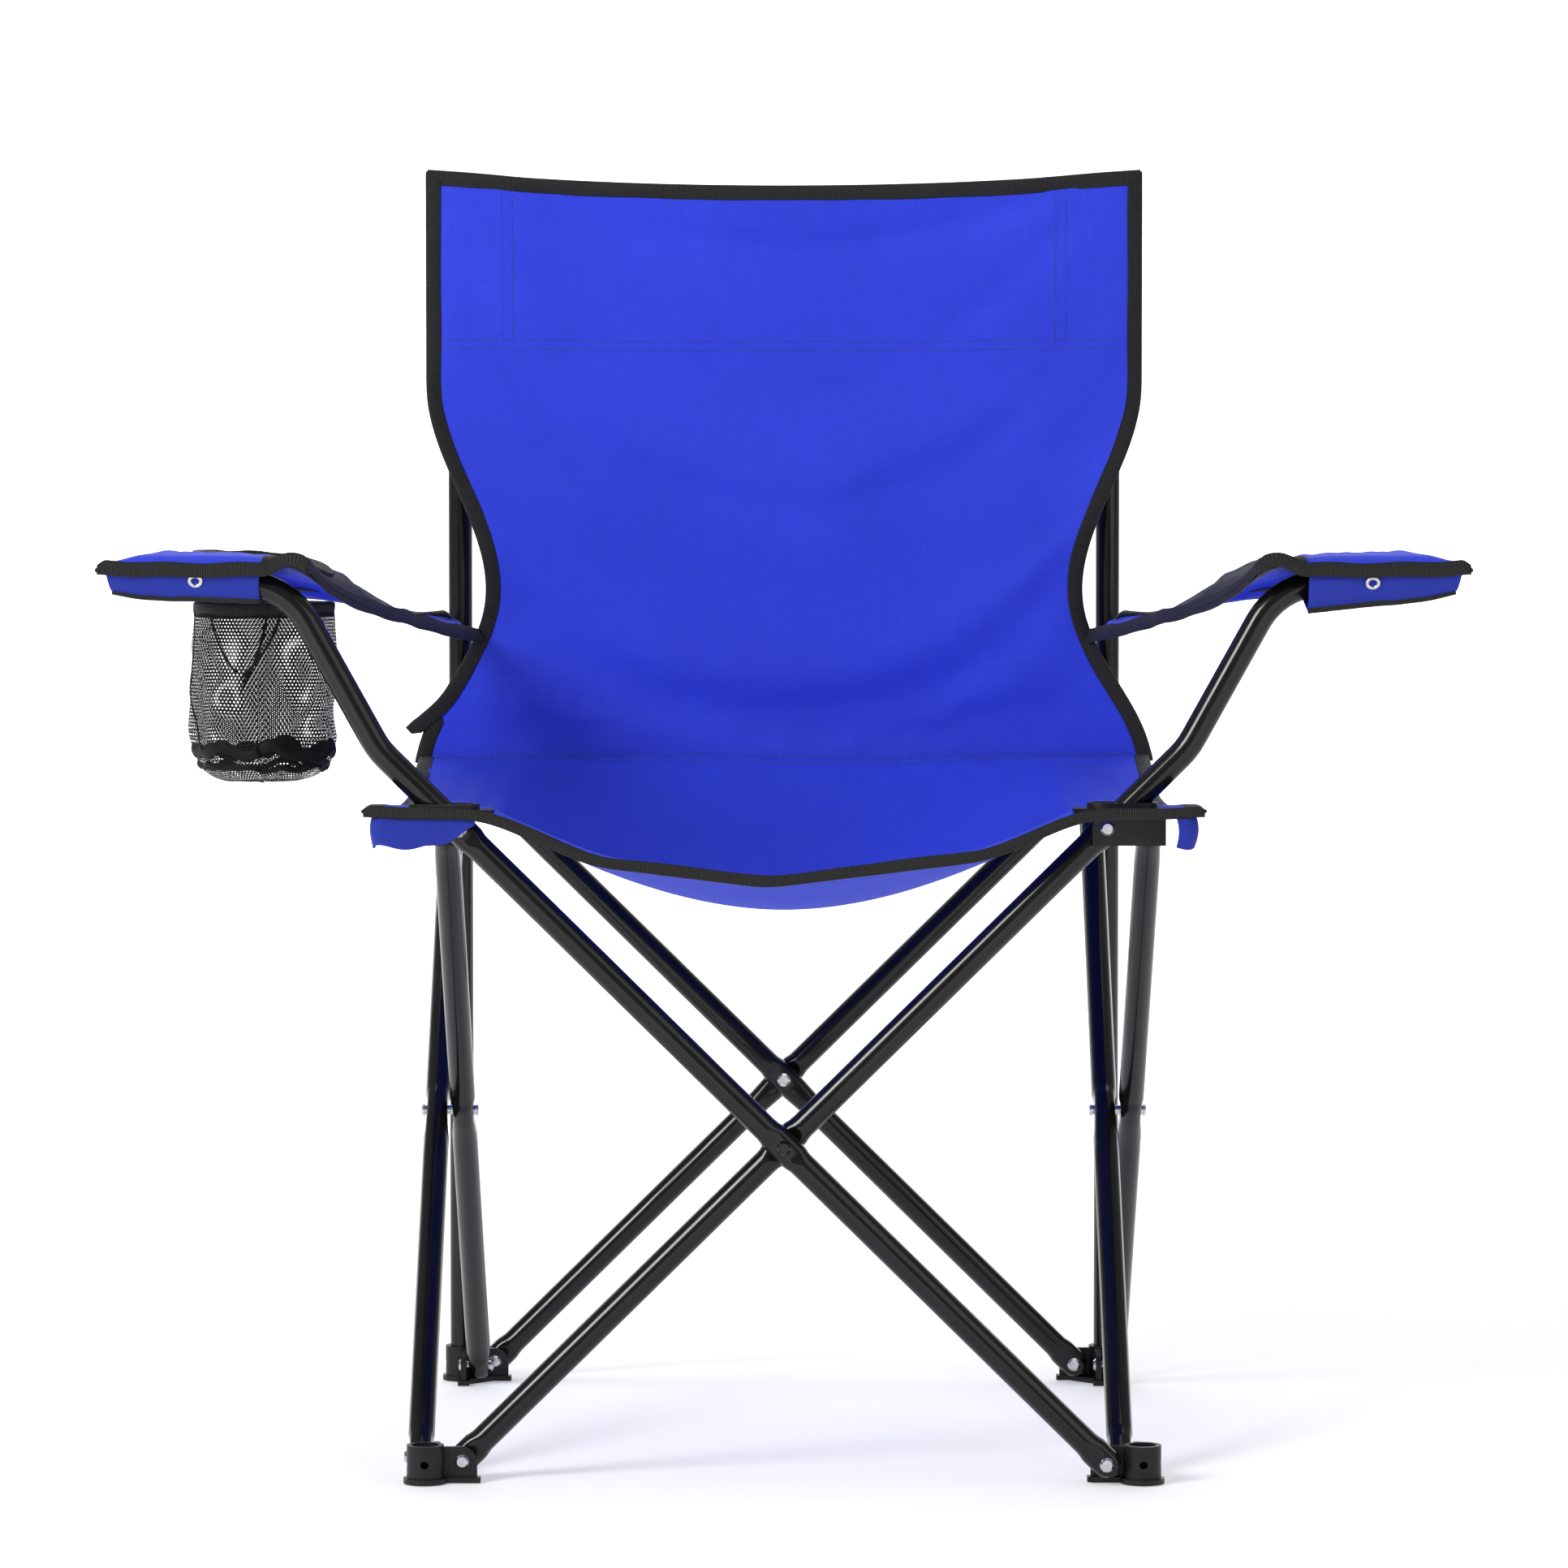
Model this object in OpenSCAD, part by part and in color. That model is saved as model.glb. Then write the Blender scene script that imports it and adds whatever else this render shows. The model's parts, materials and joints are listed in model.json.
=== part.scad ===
// Folding camp chair: a four-sided scissor frame of steel tube with moulded feet and hubs,
// two back posts, a sling seat and back, two arm pads and a net cup holder.
// X is across the chair, the sitter faces -Y, and Z is up from the floor.

/* [Scissor frame] */
// Distance between the two pivots of a scissor pair, measured along the floor
pivot_span = 387; // [340:1:420]
// Height of the upper pivots over the lower ones
pivot_rise = 381; // [340:1:410]
// Height of the lower pivots over the floor
foot_pivot_z = 12.5; // [12.5:0.5:16]
// Distance from a pivot to the centre of its corner's socket
pivot_inset = 22; // [21:0.5:26]
// Outer diameter of every tube
tube_d = 16; // [14:0.5:18]
// Wall of every tube
tube_wall = 1.2; // [0.8:0.1:2]
// Gap between two tubes that cross
tube_gap = 0.4; // [0.3:0.1:1]

/* [Back posts] */
// Height of the posts' open ends
post_top_z = 792; // [760:1:830]

/* [Mouldings] */
// Thickness of the plates that carry the pivots
lug_t = 3.6; // [3:0.2:4.6]
// Radius of a lug round its pivot
lug_r = 9; // [8.6:0.2:9.4]
// Wall of a round socket
socket_wall = 2.9; // [2:0.1:3.5]
// Height of a foot's socket
foot_h = 23; // [20:0.5:28]
// Thickness of a foot's base flange
flange_t = 3.2; // [2.4:0.2:3.4]
// How far the flange stands out past the socket
flange_lip = 2; // [1:0.5:3]
// Radial clearance of a tube in a socket
socket_fit = 0.3; // [0.25:0.05:0.5]

/* [Rivets] */
// Diameter of a pivot rivet's shank
rivet_d = 6; // [5:0.5:7]
// Diameter of a rivet's head
rivet_head_d = 8.7; // [8:0.1:10]
// Height of a rivet's head
rivet_head_h = 1.6; // [1.2:0.1:2]
// Radial clearance of a shank in its holes
rivet_fit = 0.06; // [0.03:0.01:0.09]
// Diameter of the rivets that hold the posts
post_rivet_d = 4.8; // [4:0.2:5.2]

/* [Arms] */
// Straight length of an arm tube past its hub pivot, to the first bend
arm_rise_len = 68; // [62:1:74]
// Length between the two bends
arm_slope_len = 110; // [100:1:118]
// Length from the second bend to the tube's end
arm_end_len = 68; // [60:1:76]
// Slope of the tube between its bends, from level
arm_slope = 61; // [58:1:64]
// Slope of the tube's end, from level
arm_end_slope = 6; // [4:1:8]
// Radius of both bends, to the tube's middle
arm_bend_r = 45; // [40:1:55]
// Width of an arm pad at the front
arm_w = 125; // [115:1:135]

/* [Fabric] */
// Thickness of the seat and back
cloth_t = 2.4; // [1.6:0.2:3]
// Half width of the seat at its front corners
seat_half_w = 250; // [240:1:258]
// Height of the seat's edge where the hubs hold it
seat_edge_z = 407.5; // [407:0.5:412]
// Sag of the seat's front edge in the middle
seat_front_sag = 42; // [30:1:50]
// Sag of the seat halfway back
seat_mid_sag = 64; // [45:1:75]
// Height of the seam between seat and back
seam_z = 418; // [414:1:424]
// Height of the back panel's top edge at the corners
back_top_z = 806; // [798:1:840]
// Half width of the back panel at the top
back_half_w = 236; // [232:1:242]
// Half width of the back panel at its waist
waist_half_w = 196; // [186:1:200]

/* [Cup holder] */
// Diameter of the net bag
bag_d = 88; // [80:1:92]
// Depth of the net bag
bag_h = 110; // [90:1:130]
// Thickness of the net and its folds
bag_t = 1.8; // [1.2:0.2:3]

/* [Hidden] */
$fn = 48;

black = "#141416";
plastic = "#1b1b1d";
steel = "#c9ccd0";
blue = "#3142d8";

// Places shared by the whole frame, about the frame's middle
tube_r = tube_d / 2;
corner = pivot_span / 2 + pivot_inset;
tube_step = tube_r + tube_gap / 2;
lug_gap = 0.2;
// From a socket's centre, square to a tube: the outer tube's middle and the inner tube's middle
outer_off = lug_t + lug_gap - tube_r;
inner_off = outer_off + 2 * tube_step;
pin = pivot_span / 2;
hub_pivot_z = foot_pivot_z + pivot_rise;
leg_len = norm([pivot_span, pivot_rise]);
leg_angle = atan2(pivot_span, pivot_rise);
end_r = tube_r + 0.6;
socket_r = tube_r + socket_fit;
ring_r = socket_r + socket_wall;
hub_low = hub_pivot_z - lug_r - 1.2;
hub_high = hub_pivot_z + lug_r;
post_rivet_z = 12;
long_plate_reach = -tube_r - 5;
arm_rivet_in = 14;
arm_rivet_d = 4;
arm_rivet_head_d = 11;
cap_t = 2.4;
cap_depth = 12;
// A bend's wall is drawn this much thinner on each side, and a straight runs this far into it
bend_thinning = 0.02;
bend_lap = 0.1;

// The outer plate of a lug runs from the tube's flank
outer_plate = outer_off + tube_r + lug_gap;
inner_plate = inner_off - tube_r - lug_gap - lug_t;

// Seat plate: a slot lets its tube lean from its open to its folded place
slot_low = -6;
slot_high = pivot_inset + tube_r + 1;
slot_w = tube_d + 1.4;
plate_t = 2.6;
plate_z = hub_high + 0.4;
collar_wall = 2.8;
collar_h = 6;
// The seat is cut out round the corner hardware by this much
notch_margin = 10;
notch_h = 60;

// Fabric places
front_edge_y = -corner - 17;
seat_rear_y = corner - 27;
seat_mid_gap = 0.8;
seat_mid_half_w = corner - 10;
seat_rear_flare = 26;
seat_edge_dip = 7;
seat_rear_sag = 3;
hang_w = 174;
panel_y = corner - tube_r - 4.2;
panel_low_y = corner - 24;
waist_z = 530;
shoulder_rise = 134;
seam_half_w = 244;
lean_low_z = 560;
lean_rise = 130;
back_top_sag = 8;
back_bow = 3;
pocket_low = 690;
pocket_fit = 0.4;
pocket_wall = 1.5;
arm_z = hub_pivot_z + 161.9;
arm_front_y = -corner - 19;
arm_rear_y = corner - 14;
arm_inner_x = 284;
arm_rear_x = waist_half_w + 8;
arm_strap_w = 30;
arm_drop = 51;
under_drop = tube_d + 9.3;
under_inset = 38;
inner_droop = 16;
cup_x = -316;
cup_y = -150;
cup_top = arm_z - under_drop - cloth_t / 2 - 0.5;
cup_hole_d = 76;
bag_taper = 0.9;
rim_h = 7;

// The farthest that the object reaches each way in Y sets the origin in the middle
front_reach = arm_front_y;
rear_reach = corner + ring_r + flange_lip;
y_shift = -(front_reach + rear_reach) / 2;

// ---- Tubes ----

// One pass along +Z, then a bend towards +X for a positive turn, then the rest of the run
module run(steps, i = 0) {
    if (i < len(steps)) {
        straight = steps[i][0];
        turn = steps[i][1];
        side = sign(turn);
        before = i > 0 ? bend_lap : 0;
        after = turn != 0 ? bend_lap : 0;
        translate([0, 0, -before])
            linear_extrude(before + straight + after)
                tube_section();
        translate([0, 0, straight])
            if (turn != 0) {
                rotate([0, 0, turn < 0 ? 180 : 0])
                    translate([arm_bend_r, 0, 0])
                        rotate([90, 0, 180])
                            rotate_extrude(angle = abs(turn))
                                translate([arm_bend_r, 0])
                                    tube_section(bend_thinning);
                translate([side * arm_bend_r * (1 - cos(turn)), 0, arm_bend_r * sin(abs(turn))])
                    rotate([0, turn, 0])
                        run(steps, i + 1);
            }
    }
}

module tube_section(less = 0) {
    difference() {
        circle(d = tube_d - 2 * less);
        circle(d = tube_d - 2 * tube_wall + 2 * less);
    }
}

// What is cut off a tube's end to leave it round about its pivot
module round_end_cut() {
    difference() {
        translate([-tube_d, -tube_d, -2 * tube_d])
            cube([2 * tube_d, 2 * tube_d, 2 * tube_d]);
        rotate([90, 0, 0])
            cylinder(r = end_r, h = 4 * tube_d, center = true);
    }
}

module pivot_hole(z) {
    translate([0, 0, z])
        rotate([90, 0, 0])
            cylinder(d = rivet_d + 2 * rivet_fit, h = 2 * tube_d, center = true);
}

// A straight scissor tube from its lower pivot at the origin up +Z, its pivots along Y
module leg() {
    difference() {
        translate([0, 0, -tube_r - 2])
            cylinder(d = tube_d, h = leg_len + tube_d + 4);
        translate([0, 0, -tube_r - 3])
            cylinder(d = tube_d - 2 * tube_wall, h = leg_len + tube_d + 6);
        round_end_cut();
        translate([0, 0, leg_len])
            mirror([0, 0, 1])
                round_end_cut();
        for (z = [0, leg_len / 2, leg_len])
            pivot_hole(z);
    }
}

// Turns of an arm tube, towards upright and then out
arm_turn_up = arm_slope - (90 - leg_angle);
arm_turn_out = arm_slope - arm_end_slope;
tangent_up = arm_bend_r * tan(arm_turn_up / 2);
tangent_out = arm_bend_r * tan(arm_turn_out / 2);

function arm_steps(low) = [
    [low + leg_len + arm_rise_len - tangent_up, -arm_turn_up],
    [arm_slope_len - tangent_up - tangent_out, arm_turn_out],
    [arm_end_len - tangent_out, 0]
];

// A front tube runs on past its upper pivot and bends to carry an arm
module arm_leg() {
    difference() {
        translate([0, 0, -tube_r - 2])
            run(arm_steps(tube_r + 2));
        round_end_cut();
        at_arm_end()
            translate([0, 0, -arm_rivet_in])
                rotate([90, 0, 0])
                    cylinder(d = arm_rivet_d + 2 * rivet_fit, h = tube_d);
        for (z = [0, leg_len / 2, leg_len])
            pivot_hole(z);
    }
}

// Puts a part that is drawn along an arm tube's last stretch at the tube's end
module at_arm_end() {
    translate([0, 0, leg_len + arm_rise_len])
        rotate([0, -arm_turn_up, 0])
            translate([0, 0, arm_slope_len])
                rotate([0, arm_turn_out, 0])
                    translate([0, 0, arm_end_len])
                        children();
}

module arm_plug() {
    at_arm_end() {
        cylinder(d = tube_d, h = cap_t);
        translate([0, 0, -cap_depth])
            cylinder(d = tube_d - 2 * tube_wall, h = cap_depth + 0.5);
    }
}

// Lays a part that leans towards +X in one side of the frame: turn 0 is the front, and
// each further quarter turn goes round to the right, the rear and the left
module side_of_frame(turn, off, flip = false) {
    rotate([0, 0, turn])
        mirror([flip ? 1 : 0, 0, 0])
            translate([-pin, -corner + off, foot_pivot_z])
                rotate([0, leg_angle, 0])
                    children();
}

// ---- Corners ----

// Puts a part drawn about a socket's centre, reaching along +X and +Y, at a corner:
// 0 front left, 1 front right, 2 rear right, 3 rear left. Hubs are the mirror image of feet.
module at_corner(i, hub = false) {
    rotate([0, 0, 90 * i])
        translate([-corner, -corner, 0])
            mirror(hub ? [1, -1, 0] : [0, 0, 0])
                children();
}

// The outline of a lug, from the socket's centre along +X, its height along +Y
module lug_outline(low, high, pivot, reach) {
    translate([pivot_inset, pivot])
        circle(r = lug_r);
    translate([reach, low])
        square([pivot_inset - reach, high - low]);
    translate([pivot_inset, low])
        square([lug_r, pivot - low]);
}

// A plate along +X with its face to the tube at y = near + lug_t
module plate_x(near, low, high, pivot, reach) {
    translate([0, near + lug_t, 0])
        rotate([90, 0, 0])
            linear_extrude(lug_t)
                lug_outline(low, high, pivot, reach);
}

// The two plates of a corner: the inner tube's along +X and the outer tube's along +Y
module corner_plates(low, high, pivot, reach_x = 0, reach_y = 0) {
    plate_x(inner_plate, low, high, pivot, reach_x);
    mirror([1, -1, 0])
        plate_x(outer_plate, low, high, pivot, reach_y);
}

module corner_pivot_holes(pivot) {
    for (side = [0, 1])
        mirror([side, -side, 0])
            translate([pivot_inset, 0, pivot])
                rotate([90, 0, 0])
                    cylinder(d = rivet_d + 2 * rivet_fit, h = 4 * tube_d, center = true);
}

module foot_flange() {
    margin = flange_lip;
    linear_extrude(flange_t) {
        circle(r = ring_r + margin);
        translate([0, inner_plate - margin])
            square([pivot_inset + lug_r + margin, lug_t + 2 * margin]);
        translate([outer_plate - margin, 0])
            square([lug_t + 2 * margin, pivot_inset + lug_r + margin]);
        polygon([[0, 0], [pivot_inset + lug_r, 0], [0, pivot_inset + lug_r]]);
    }
}

module foot() {
    difference() {
        union() {
            foot_flange();
            cylinder(r = ring_r, h = foot_h);
            corner_plates(0, foot_pivot_z + lug_r, foot_pivot_z);
        }
        translate([0, 0, flange_t])
            cylinder(r = socket_r, h = foot_h);
        corner_pivot_holes(foot_pivot_z);
        for (turn = [180, 270])
            rotate([0, 0, turn])
                translate([0, 0, post_rivet_z])
                    rotate([0, 90, 0])
                        cylinder(d = post_rivet_d + 2 * rivet_fit, h = 2 * ring_r);
    }
}

// A front hub is an angle bracket with a relief for the tube that passes on to an arm. The hub
// whose arm tube is its inner one has a longer front plate.
module front_hub(long_plate) {
    arm_tube_off = long_plate ? inner_off : outer_off;
    difference() {
        union() {
            corner_plates(hub_low, hub_high, hub_pivot_z, inner_plate, inner_plate);
            translate([inner_plate, inner_plate, hub_low])
                cube([outer_plate + lug_t - inner_plate, lug_t, hub_high - hub_low]);
            if (long_plate)
                translate([long_plate_reach, inner_plate, hub_low])
                    cube([tube_d, lug_t, hub_high - hub_low]);
        }
        corner_pivot_holes(hub_pivot_z);
        mirror(long_plate ? [0, 0, 0] : [1, -1, 0])
            translate([pivot_inset, arm_tube_off, hub_pivot_z])
                rotate([0, -leg_angle, 0])
                    cylinder(r = tube_r + 0.75 * lug_gap, h = 6 * tube_d);
    }
}

module rear_hub() {
    difference() {
        union() {
            translate([0, 0, hub_low])
                cylinder(r = ring_r, h = hub_high - hub_low);
            corner_plates(hub_low, hub_high, hub_pivot_z);
        }
        translate([0, 0, hub_low - 1])
            cylinder(r = socket_r, h = hub_high - hub_low + 2);
        corner_pivot_holes(hub_pivot_z);
    }
}

// ---- Rivets ----

// A rivet from y = 0 to y = grip, with a head past each end
module rivet(grip, d = rivet_d) {
    rotate([-90, 0, 0]) {
        cylinder(d = d, h = grip);
        translate([0, 0, grip])
            cylinder(d1 = rivet_head_d, d2 = 0.7 * rivet_head_d, h = rivet_head_h);
        translate([0, 0, -rivet_head_h])
            cylinder(d2 = rivet_head_d, d1 = 0.7 * rivet_head_d, h = rivet_head_h);
    }
}

// Both rivets of a corner: each grips its plate and its tube
module corner_rivets(pivot) {
    slack = 0.1;
    translate([pivot_inset, inner_plate - slack, pivot])
        rivet(lug_t + lug_gap + tube_d + 2 * slack);
    mirror([1, -1, 0])
        translate([pivot_inset, outer_off - tube_r - slack, pivot])
            rivet(lug_t + lug_gap + tube_d + 2 * slack);
}

module cross_rivet() {
    slack = 0.1;
    translate([0, outer_off - tube_r - slack, leg_len / 2])
        rivet(2 * tube_d + tube_gap + 2 * slack);
}

module post_rivet() {
    translate([0, -ring_r - 0.1, post_rivet_z])
        rotate([-90, 0, 0]) {
            cylinder(d = post_rivet_d, h = ring_r + tube_r - 0.6);
            translate([0, 0, -rivet_head_h])
                cylinder(d2 = rivet_head_d - 1, d1 = 0.7 * rivet_head_d, h = rivet_head_h);
        }
}

// ---- Posts ----

module post() {
    difference() {
        translate([0, 0, flange_t])
            cylinder(d = tube_d, h = post_top_z - flange_t);
        translate([0, 0, flange_t - 1])
            cylinder(d = tube_d - 2 * tube_wall, h = post_top_z);
        translate([0, 0, post_rivet_z])
            rotate([90, 0, 0])
                cylinder(d = post_rivet_d + 2 * rivet_fit, h = 2 * tube_d, center = true);
    }
}

module post_cap() {
    translate([0, 0, post_top_z])
        cylinder(d = tube_d, h = cap_t);
    translate([0, 0, post_top_z - cap_depth])
        cylinder(d = tube_d - 2 * tube_wall, h = cap_depth + 0.5);
}

// ---- Seat plates ----

module slot_outline(w) {
    half = (w - slot_w) / 2;
    low = slot_low + slot_w / 2;
    high = slot_high - slot_w / 2;
    translate([low, 0])
        circle(d = slot_w + 2 * half);
    translate([high, 0])
        circle(d = slot_w + 2 * half);
    translate([low, -w / 2])
        square([high - low, w]);
}

// A plate over a front hub, its slot along +X round the tube that passes on to an arm
module seat_plate(off) {
    outer_w = slot_w + 2 * collar_wall;
    translate([0, off, plate_z])
        difference() {
            union() {
                linear_extrude(collar_h)
                    slot_outline(outer_w);
                translate([slot_low - 9, -outer_w / 2, 0])
                    cube([slot_high - slot_low + 20, outer_w, plate_t]);
            }
            translate([0, 0, -1])
                linear_extrude(collar_h + 2)
                    slot_outline(slot_w);
        }
}

// ---- Fabric ----

// A closed sheet over a grid: at(u, v) gives its middle for u and v from 0 to 1, and half is
// the vector from the middle to its upper face
module sheet(at, nu, nv, half) {
    row = nu + 1;
    count = row * (nv + 1);
    grid = [for (j = [0:nv], i = [0:nu]) at(i / nu, j / nv)];
    points = concat([for (p = grid) p + half], [for (p = grid) p - half]);
    quads = [for (j = [0:nv - 1], i = [0:nu - 1]) j * row + i];
    top = [for (q = quads) [q, q + row, q + row + 1, q + 1]];
    bottom = [for (q = quads) [count + q, count + q + 1, count + q + row + 1, count + q + row]];
    rim = concat(
        [for (i = [0:nu - 1]) i],
        [for (j = [0:nv - 1]) j * row + nu],
        [for (i = [nu:-1:1]) nv * row + i],
        [for (j = [nv:-1:1]) j * row]);
    ends = len(rim);
    sides = [for (k = [0:ends - 1])
        [rim[k], rim[(k + 1) % ends], count + rim[(k + 1) % ends], count + rim[k]]];
    polyhedron(points, concat(top, bottom, sides), convexity = 4);
}

function ease(t) = t <= 0 ? 0 : t >= 1 ? 1 : (1 - cos(180 * t)) / 2;
function mix(a, b, t) = a + (b - a) * t;

// Share of the way from the seat's front edge to its rear seam
function seat_share(y) = (y - front_edge_y) / (seat_rear_y - front_edge_y);
function seat_sag(s) = s < 0.5 ? mix(seat_front_sag, seat_mid_sag, ease(2 * s))
    : mix(seat_mid_sag, seat_rear_sag, ease(2 * s - 1));
function seat_edge(s) = mix(seat_edge_z, seam_z, ease(3 * s - 2)) - seat_edge_dip * sin(180 * s);
function seat_z(x, y) = seat_edge(seat_share(y))
    - seat_sag(seat_share(y)) * (1 - pow(min(abs(x), hang_w) / hang_w, 2));
function seat_half_at(y) = mix(seat_half_w, seat_mid_half_w, ease(3 * seat_share(y)))
    + seat_rear_flare * ease(4 * seat_share(y) - 3.2);

module seat_half(y0, y1) {
    difference() {
        sheet(function(u, v)
                let (y = mix(y0, y1, v), x = mix(-1, 1, u) * seat_half_at(y))
                [x, y, seat_z(x, y)],
            24, 10, [0, 0, cloth_t / 2]);
        for (i = [0, 1])
            rotate([0, 0, 90 * i])
                translate([-corner, -corner, 0])
                    mirror([i, -i, 0])
                        translate([slot_low - notch_margin, -tube_d - 6, hub_low])
                            cube([slot_high - slot_low + 2.2 * notch_margin, 2.6 * tube_d + 6, notch_h]);
    }
}

function back_half(z) = z > waist_z
    ? mix(waist_half_w, back_half_w, ease((z - waist_z) / shoulder_rise))
    : mix(waist_half_w, seam_half_w, ease((waist_z - z) / (waist_z - seam_z)));
function back_y(z) = mix(panel_low_y, panel_y, ease((z - lean_low_z) / lean_rise));
function back_edge_z(u) = back_top_z - back_top_sag * (1 - pow(2 * u - 1, 2));

module back_panel() {
    color(blue)
        sheet(function(u, v)
                let (z = mix(seam_z + cloth_t, back_edge_z(u), v), w = 2 * u - 1)
                [w * back_half(z), back_y(z) + back_bow * (w * w - 1), z],
            20, 24, [0, -cloth_t / 2, 0]);
}

// A pocket is a closed sleeve over a post's top
module post_pocket() {
    color(blue)
        difference() {
            translate([0, 0, pocket_low])
                cylinder(r = tube_r + pocket_fit + pocket_wall, h = back_top_z - 4 - pocket_low);
            translate([0, 0, pocket_low - 1])
                cylinder(r = tube_r + pocket_fit, h = post_top_z + 3.4 - pocket_low);
        }
}

// Arm pads: v runs from the front edge to the strap at the back
function arm_in(v) = mix(arm_inner_x, arm_rear_x, ease(v) * 0.5 + v * 0.5);
function arm_width(v) = mix(arm_w, arm_strap_w, ease((v - 0.35) / 0.6));
function arm_height(v) = arm_z - arm_drop * ease((v - 0.3) / 0.7);

// The upper layer runs the arm's whole length, its inner edge drooping behind the arm tube
module arm_top_layer() {
    sheet(function(u, v)
            [arm_in(v) + u * arm_width(v), mix(arm_front_y, arm_rear_y, v),
                arm_height(v) - inner_droop * pow(1 - u, 2) * ease(5 * v) * (1 - ease(v * 1.6 - 0.6))],
        8, 22, [0, 0, cloth_t / 2]);
}

// The under layer closes the front of the arm below the tube's end
module arm_under_layer() {
    share = 0.5;
    sheet(function(u, v)
            let (s = v * share)
            [arm_in(s) + mix(under_inset, arm_width(s) - 2, u), mix(arm_front_y, arm_rear_y, s),
                arm_height(s) - under_drop],
        6, 12, [0, 0, cloth_t / 2]);
}

module cup_hole() {
    translate([cup_x, cup_y, cup_top - 5])
        cylinder(d = cup_hole_d, h = 60);
}

module arm_top(side) {
    color(blue)
        difference() {
            mirror([side < 0 ? 1 : 0, 0, 0])
                arm_top_layer();
            if (side < 0)
                cup_hole();
        }
}

module arm_under(side) {
    color(blue)
        difference() {
            mirror([side < 0 ? 1 : 0, 0, 0])
                arm_under_layer();
            if (side < 0)
                cup_hole();
        }
}

// A hollow rivet that holds the arm's layers to the front of its tube
module arm_rivet_shape() {
    at_arm_end()
        translate([0, -tube_r - 0.2, -arm_rivet_in])
            rotate([-90, 0, 0]) {
                cylinder(d = arm_rivet_d, h = tube_wall + 2);
                translate([0, 0, -rivet_head_h])
                    difference() {
                        cylinder(d = arm_rivet_head_d, h = rivet_head_h);
                        translate([0, 0, -1])
                            cylinder(d = arm_rivet_d + 0.6, h = rivet_head_h + 0.2);
                    }
            }
}

module cup_holder_net() {
    color(black)
        translate([cup_x, cup_y, cup_top - bag_h])
            difference() {
                cylinder(d1 = bag_taper * bag_d, d2 = bag_d, h = bag_h - rim_h - 0.2);
                translate([0, 0, -1])
                    cylinder(d1 = bag_taper * bag_d - 2 * bag_t, d2 = bag_d - 2 * bag_t, h = bag_h);
            }
}

module cup_holder_rim() {
    color(black)
        translate([cup_x, cup_y, cup_top - rim_h])
            difference() {
                cylinder(d = bag_d + 2, h = rim_h);
                translate([0, 0, -1])
                    cylinder(d = cup_hole_d, h = rim_h + 2);
            }
}

module cup_holder_base() {
    color(black)
        translate([cup_x, cup_y, cup_top - bag_h])
            cylinder(d = bag_taper * bag_d - 2 * bag_t - 1, h = 2 * bag_t);
}

// ---- The chair's parts ----

module foot_front_left() {
    color(plastic) at_corner(0) foot();
}

module foot_front_right() {
    color(plastic) at_corner(1) foot();
}

module foot_rear_right() {
    color(plastic) at_corner(2) foot();
}

module foot_rear_left() {
    color(plastic) at_corner(3) foot();
}

module hub_front_left() {
    color(plastic) at_corner(0, true) front_hub(false);
}

module hub_front_right() {
    color(plastic) at_corner(1, true) front_hub(true);
}

module hub_rear_right() {
    color(plastic) at_corner(2, true) rear_hub();
}

module hub_rear_left() {
    color(plastic) at_corner(3, true) rear_hub();
}

module tube_front_to_left_arm() {
    color(black) side_of_frame(0, outer_off, true) arm_leg();
}

module tube_front_to_right_arm() {
    color(black) side_of_frame(0, inner_off) arm_leg();
}

module tube_right_inner() {
    color(black) side_of_frame(90, inner_off) leg();
}

module tube_right_outer() {
    color(black) side_of_frame(90, outer_off, true) leg();
}

module tube_rear_inner() {
    color(black) side_of_frame(180, inner_off) leg();
}

module tube_rear_outer() {
    color(black) side_of_frame(180, outer_off, true) leg();
}

module tube_left_inner() {
    color(black) side_of_frame(270, inner_off) leg();
}

module tube_left_outer() {
    color(black) side_of_frame(270, outer_off, true) leg();
}

module post_right() {
    color(black) at_corner(2) post();
}

module post_left() {
    color(black) at_corner(3, true) post();
}

module post_cap_right() {
    color(plastic) at_corner(2) post_cap();
}

module post_cap_left() {
    color(plastic) at_corner(3) post_cap();
}

module cross_rivet_front() {
    color(steel) side_of_frame(0, 0) cross_rivet();
}

module cross_rivet_right() {
    color(steel) side_of_frame(90, 0) cross_rivet();
}

module cross_rivet_rear() {
    color(steel) side_of_frame(180, 0) cross_rivet();
}

module cross_rivet_left() {
    color(steel) side_of_frame(270, 0) cross_rivet();
}

module foot_rivets_front_left() {
    color(steel) at_corner(0) corner_rivets(foot_pivot_z);
}

module foot_rivets_front_right() {
    color(steel) at_corner(1) corner_rivets(foot_pivot_z);
}

module foot_rivets_rear_right() {
    color(steel) at_corner(2) corner_rivets(foot_pivot_z);
}

module foot_rivets_rear_left() {
    color(steel) at_corner(3) corner_rivets(foot_pivot_z);
}

module hub_rivets_front_left() {
    color(steel) at_corner(0, true) corner_rivets(hub_pivot_z);
}

module hub_rivets_front_right() {
    color(steel) at_corner(1, true) corner_rivets(hub_pivot_z);
}

module hub_rivets_rear_right() {
    color(steel) at_corner(2, true) corner_rivets(hub_pivot_z);
}

module hub_rivets_rear_left() {
    color(steel) at_corner(3, true) corner_rivets(hub_pivot_z);
}

module post_rivet_right() {
    color(steel) at_corner(2) post_rivet();
}

module post_rivet_left() {
    color(steel) at_corner(3, true) post_rivet();
}

module arm_plug_left() {
    color(plastic) side_of_frame(0, outer_off, true) arm_plug();
}

module arm_plug_right() {
    color(plastic) side_of_frame(0, inner_off) arm_plug();
}

module seat_plate_left() {
    color(plastic) at_corner(0) seat_plate(outer_off);
}

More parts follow.
